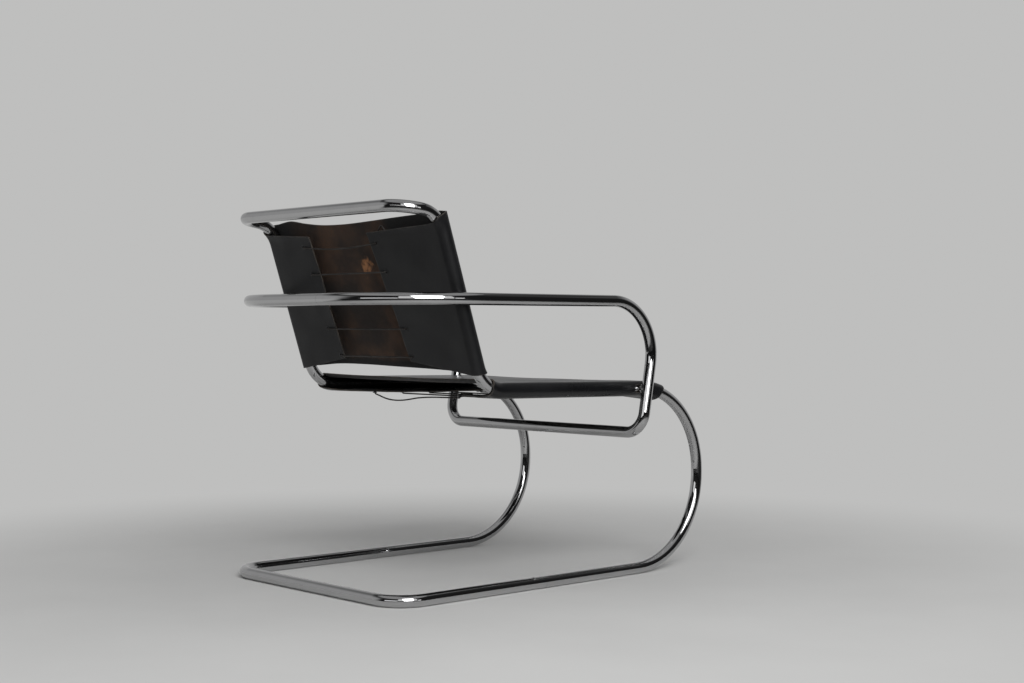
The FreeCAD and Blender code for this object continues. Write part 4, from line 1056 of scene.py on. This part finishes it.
eyeletTree = makeEyeletTree()


def setInputs(modifier, values):
    for item in modifier.node_group.interface.items_tree:
        if item.item_type == "SOCKET" and item.in_out == "INPUT" and item.name in values:
            modifier[item.identifier] = values[item.name]


def makeEyelets(name, places, place, rearY, turn, cadNode):
    depth = [float(rearY(np.array(s))) - midRadius for x, s in places]
    points = [place(np.array(x), np.array(y), np.array(s)).tolist() for (x, s), y in zip(places, depth)]
    mesh = bpy.data.meshes.new(name)
    mesh.from_pydata(points, [], [])
    obj = bpy.data.objects.new(name, mesh)
    bpy.context.scene.collection.objects.link(obj)
    modifier = obj.modifiers.new("rings", "NODES")
    modifier.node_group = eyeletTree
    setInputs(modifier, {
        "Bore": eyelet["bore"], "Wall": eyelet["wall"], "Rim Width": eyelet["rimWidth"],
        "Rim Height": eyelet["rimHeight"], "Length": sling["thick"] + 2 * eyelet["stand"] + eyelet["wall"],
        "Turn": turn, "Material": eyeletBlack,
    })
    bakeModifiers(obj)
    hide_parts(cadNode)
    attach(obj, "root")
    return obj


backTurn = (math.pi / 2 - lean, 0, 0)
seatTurn = (-slope, 0, 0)
for side, sideName in ((-1, "right"), (1, "left")):
    title = sideName.capitalize()
    makeEyelets("backEyelets" + title, backEyelets(side), placeBack, backRear,
                                       backTurn, "back_eyelets_" + sideName)
    makeEyelets("seatEyelets" + title, seatEyelets(side), placeSeat, seatFlapY,
                                       seatTurn, "seat_eyelets_" + sideName)
print("eyelets ready")


# Laces
lace = {
    "radius": 0.0016,
    "pull": 0.0011,           # off the eyelet's middle, towards the crossing
    "rise": 0.0044,           # off the flap's mid plane
    "turnIn": 0.006,          # where the lace lies flat again beside an eyelet
    "sag": 0.009,             # of the topmost crossing behind the back
    "drop": 0.012,            # of the slack loop under the seat's rear edge
    "loop": (-0.020, 0.044, 0.096),    # places across where that loop turns
    # loose ends, as steps across and along from the first and the last eyelet
    "backStart": [(-0.030, 0.025), (-0.026, 0.035), (-0.018, 0.033), (-0.001, 0.014)],
    "backEnd": [(0.004, 0.008), (0.012, 0.022)],
    "seatStart": [(-0.024, 0.014), (-0.006, 0.004)],
    "seatEnd": [(-0.006, -0.004), (-0.024, -0.014)],
}

flapY = -midRadius - sling["slack"] / 2
laceOutside = flapY - lace["rise"]
laceInside = flapY + lace["rise"]


def makeLace(name, route, place, cadNode):
    points = [place(np.array(p[0]), np.array(p[1]), np.array(p[2])) for p in route]
    data = bpy.data.curves.new(name, "CURVE")
    data.dimensions = "3D"
    spline = data.splines.new("NURBS")
    spline.points.add(len(points) - 1)
    for k, p in enumerate(points):
        spline.points[k].co = (*p, 1.0)
    spline.order_u = 3
    spline.use_endpoint_u = True
    spline.resolution_u = 6
    run = sum(math.dist(a, b) for a, b in zip(points, points[1:]))
    print(name, "is", round(run, 2), "m long")
    data.bevel_depth = lace["radius"]
    data.bevel_resolution = 3
    data.use_fill_caps = True
    obj = bpy.data.objects.new(name, data)
    bpy.context.scene.collection.objects.link(obj)
    depsgraph = bpy.context.evaluated_depsgraph_get()
    mesh = bpy.data.meshes.new_from_object(obj.evaluated_get(depsgraph), depsgraph=depsgraph)
    bpy.data.objects.remove(obj)
    mesh.materials.clear()
    mesh.materials.append(laceLeather)
    mesh.polygons.foreach_set("use_smooth", [True] * len(mesh.polygons))
    obj = bpy.data.objects.new(name, mesh)
    bpy.context.scene.collection.objects.link(obj)
    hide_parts(cadNode)
    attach(obj, "root")
    return obj


# One pull from eyelet to eyelet on the outside, lying flat beside both
def laceCrossing(here, there, sag=0.0):
    step = math.copysign(lace["turnIn"], there[0] - here[0])
    middle = [((here[0] + there[0]) / 2, laceOutside, (here[1] + there[1]) / 2 - sag)] if sag else []
    return [(here[0], laceOutside, here[1]), (here[0] + step, laceOutside, here[1] - sag * 0.1), *middle,
            (there[0] - step, laceOutside, there[1] - sag * 0.1), (there[0], laceOutside, there[1])]


def slackLoop(here, there):
    first, second, third = lace["loop"]
    low = laceOutside - lace["drop"]
    return [(here[0], laceOutside, here[1]), (here[0] + lace["turnIn"], laceOutside, here[1]),
            (first, laceOutside - 0.0015, here[1]), (second, low, here[1]), (third, low, here[1]),
            (there[0] - lace["turnIn"], laceOutside - 0.001, there[1]), (there[0], laceOutside, there[1])]


# Runs on from one eyelet to the next one of its row, on the inside
def laceAhead(here, there):
    step = math.copysign(lace["turnIn"], there[1] - here[1])
    return [(here[0], laceInside, here[1]), (here[0], laceInside, here[1] + step),
            (there[0], laceInside, there[1] - step), (there[0], laceInside, there[1])]


def looseEnd(eyeletPlace, steps):
    x, s = eyeletPlace
    return [(x + a, laceInside, s + b) for a, b in steps]


def pulled(places):
    return [(x - math.copysign(lace["pull"], x), s) for x, s in places]


def laceRoute(rows, start, end, firstCrossing):
    near, far = pulled(rows(-1)), pulled(rows(1))
    route = looseEnd(near[0], start + [(0, 0)])
    for k in range(len(near)):
        here, there = (near[k], far[k]) if k % 2 == 0 else (far[k], near[k])
        route += firstCrossing(here, there) if k == 0 else laceCrossing(here, there)
        if k + 1 < len(near):
            route += laceAhead(there, far[k + 1] if k % 2 == 0 else near[k + 1])
        else:
            route += looseEnd(there, [(0, 0)] + end)
    return route


def topCrossing(here, there):
    return laceCrossing(here, there, sag=lace["sag"])


backRoute = laceRoute(backEyelets, lace["backStart"], lace["backEnd"], topCrossing)
seatRoute = laceRoute(seatEyelets, lace["seatStart"], lace["seatEnd"], slackLoop)
backLace = makeLace("backLace", backRoute, placeBack, "back_lace")
seatLace = makeLace("seatLace", seatRoute, placeSeat, "seat_lace")
print("laces ready")


# Studio
studio = {
    "floorColor": (0.72, 0.72, 0.712),
    "backColor": (0.52, 0.52, 0.515),
    "floorFade": (0.50, 1.9),  # where the floor passes over into the backdrop, from the middle
    "floorDark": (0.9, 1.9),  # where metal stops seeing a pale floor
    "farFloor": 0.035,
    "paleFrom": (-0.4, 0.8),  # where the floor's pale side starts, from the middle towards the backdrop
    "backdropLight": 0.52,    # ahead of the camera, as metal and leather see it
    "backdropTurn": -18.0,    # degrees from the camera's heading
    "darkSideLight": 0.022,   # away from the backdrop
    "ceilingLight": 0.46,
    "ceilingFrom": (0.70, 0.82),       # height on a unit sphere
    "backdropTop": (0.45, 0.75),
    "backdropSide": (-0.20, 0.25),
    "floorHalf": 40.0,
    "floorMottle": (0.97, 1.03),
    "mottleScale": 3.0,
    "floorRoughness": 0.85,
    "floorShine": 0.1,
    "windowDistance": 4.4,
    "windowAim": 0.4,         # height that the windows face
    # turn from the rear towards the sitter's right, climb, width and height in degrees, strength
    "windows": [
        (66, 27, 28, 40, 6.0),
        (44, 24, 14, 30, 0.9),
        (86, 24, 10, 30, 0.9),
        (18, 10, 36, 13, 1.1),
        (97, 10, 10, 13, 1.1),
    ],
}


def backdropHeading():
    yaw = math.radians(photoCamera["yaw"] - studio["backdropTurn"])
    return (math.sin(yaw), -math.cos(yaw), 0)


def makeFloor():
    mesh = bpy.data.meshes.new("floor")
    side = studio["floorHalf"]
    corners = [(-side, -side, 0), (side, -side, 0), (side, side, 0), (-side, side, 0)]
    mesh.from_pydata(corners, [], [(0, 1, 2, 3)])
    obj = bpy.data.objects.new("floor", mesh)
    bpy.context.scene.collection.objects.link(obj)
    mat, tree, bsdf = newMaterial("floorPaint")
    at = objectPlace(tree)
    far = addNode(tree, "ShaderNodeVectorMath", operation="LENGTH")
    tree.links.new(at, far.inputs[0])
    path = tree.nodes.new("ShaderNodeLightPath")
    away = addRange(tree, far.outputs["Value"], *studio["floorDark"], 1.0, studio["farFloor"])
    tone = addRange(tree, noise(tree, at, studio["mottleScale"], 4.0), 0.2, 0.8, *studio["floorMottle"])
    towards = addNode(tree, "ShaderNodeVectorMath", operation="DOT_PRODUCT")
    tree.links.new(at, towards.inputs[0])
    towards.inputs[1].default_value = backdropHeading()
    paleSide = addRange(tree, towards.outputs["Value"], *studio["paleFrom"])
    glossy = path.outputs["Is Glossy Ray"]
    darkSide = addMath(tree, "SUBTRACT", 1.0, paleSide)
    plain = addMath(tree, "SUBTRACT", 1.0, addMath(tree, "MULTIPLY", glossy, darkSide))
    seen = addMath(tree, "MULTIPLY", addMath(tree, "MAXIMUM", away, plain), tone)
    color = addNode(tree, "ShaderNodeVectorMath", operation="SCALE")
    color.inputs[0].default_value = studio["floorColor"]
    tree.links.new(seen, color.inputs["Scale"])
    tree.links.new(color.outputs[0], bsdf.inputs["Base Color"])
    bsdf.inputs["Roughness"].default_value = studio["floorRoughness"]
    bsdf.inputs["Specular IOR Level"].default_value = studio["floorShine"]
    backdrop = addNode(tree, "ShaderNodeEmission", Strength=1.0)
    backdrop.inputs["Color"].default_value = (*studio["backColor"], 1)
    mix = tree.nodes.new("ShaderNodeMixShader")
    fade = addRange(tree, far.outputs["Value"], *studio["floorFade"])
    shown = addMath(tree, "MAXIMUM", path.outputs["Is Camera Ray"], path.outputs["Is Transmission Ray"])
    shown = addMath(tree, "MAXIMUM", shown, addMath(tree, "MULTIPLY", glossy, paleSide))
    tree.links.new(addMath(tree, "MULTIPLY", fade, shown), mix.inputs["Fac"])
    tree.links.new(bsdf.outputs["BSDF"], mix.inputs[1])
    tree.links.new(backdrop.outputs[0], mix.inputs[2])
    out = [n for n in tree.nodes if n.bl_idname == "ShaderNodeOutputMaterial"][0]
    tree.links.new(mix.outputs[0], out.inputs["Surface"])
    mesh.materials.append(mat)
    return obj


makeFloor()


def makeWindow(k, turn, climb, wide, high, strength):
    distance = studio["windowDistance"]
    a, e = math.radians(turn), math.radians(climb)
    out = Vector((-math.sin(a) * math.cos(e), math.cos(a) * math.cos(e), math.sin(e)))
    data = bpy.data.lights.new("window%d" % k, "AREA")
    data.shape = "RECTANGLE"
    data.size = 2 * distance * math.tan(math.radians(wide) / 2)
    data.size_y = 2 * distance * math.tan(math.radians(high) / 2)
    data.energy = strength * math.pi * data.size * data.size_y
    obj = bpy.data.objects.new("window%d" % k, data)
    bpy.context.scene.collection.objects.link(obj)
    obj.location = out * distance + Vector((0, 0, studio["windowAim"]))
    obj.rotation_euler = (-out).to_track_quat("-Z", "Y").to_euler()
    obj.visible_camera = False
    return obj


for k, window in enumerate(studio["windows"]):
    makeWindow(k, *window)


def makeWorld():
    world = bpy.data.worlds.new("studio")
    bpy.context.scene.world = world
    world.use_nodes = True
    tree = world.node_tree
    tree.nodes.clear()
    out = tree.nodes.new("ShaderNodeOutputWorld")
    mix = tree.nodes.new("ShaderNodeMixShader")
    path = tree.nodes.new("ShaderNodeLightPath")
    way = addNode(tree, "ShaderNodeTexCoord").outputs["Generated"]
    parts = addNode(tree, "ShaderNodeSeparateXYZ")
    tree.links.new(way, parts.inputs[0])
    ahead = addNode(tree, "ShaderNodeVectorMath", operation="DOT_PRODUCT")
    tree.links.new(way, ahead.inputs[0])
    ahead.inputs[1].default_value = backdropHeading()
    sideways = addRange(tree, ahead.outputs["Value"], *studio["backdropSide"])
    below = addRange(tree, parts.outputs["Z"], *studio["backdropTop"], 1.0, 0.0)
    backdrop = addMath(tree, "MULTIPLY", sideways, below)
    ceiling = addRange(tree, parts.outputs["Z"], *studio["ceilingFrom"], 0.0, studio["ceilingLight"])
    level = addMath(tree, "ADD", addMath(tree, "MULTIPLY", backdrop, studio["backdropLight"]), ceiling)
    level = addMath(tree, "ADD", level, studio["darkSideLight"])
    light = tree.nodes.new("ShaderNodeBackground")
    tree.links.new(level, light.inputs["Strength"])
    shown = tree.nodes.new("ShaderNodeBackground")
    shown.inputs["Color"].default_value = (*studio["backColor"], 1)
    seen = addMath(tree, "MAXIMUM", path.outputs["Is Camera Ray"], path.outputs["Is Transmission Ray"])
    tree.links.new(seen, mix.inputs["Fac"])
    tree.links.new(light.outputs[0], mix.inputs[1])
    tree.links.new(shown.outputs[0], mix.inputs[2])
    tree.links.new(mix.outputs[0], out.inputs["Surface"])


makeWorld()
bpy.context.scene.view_settings.view_transform = "Standard"
print("studio ready")
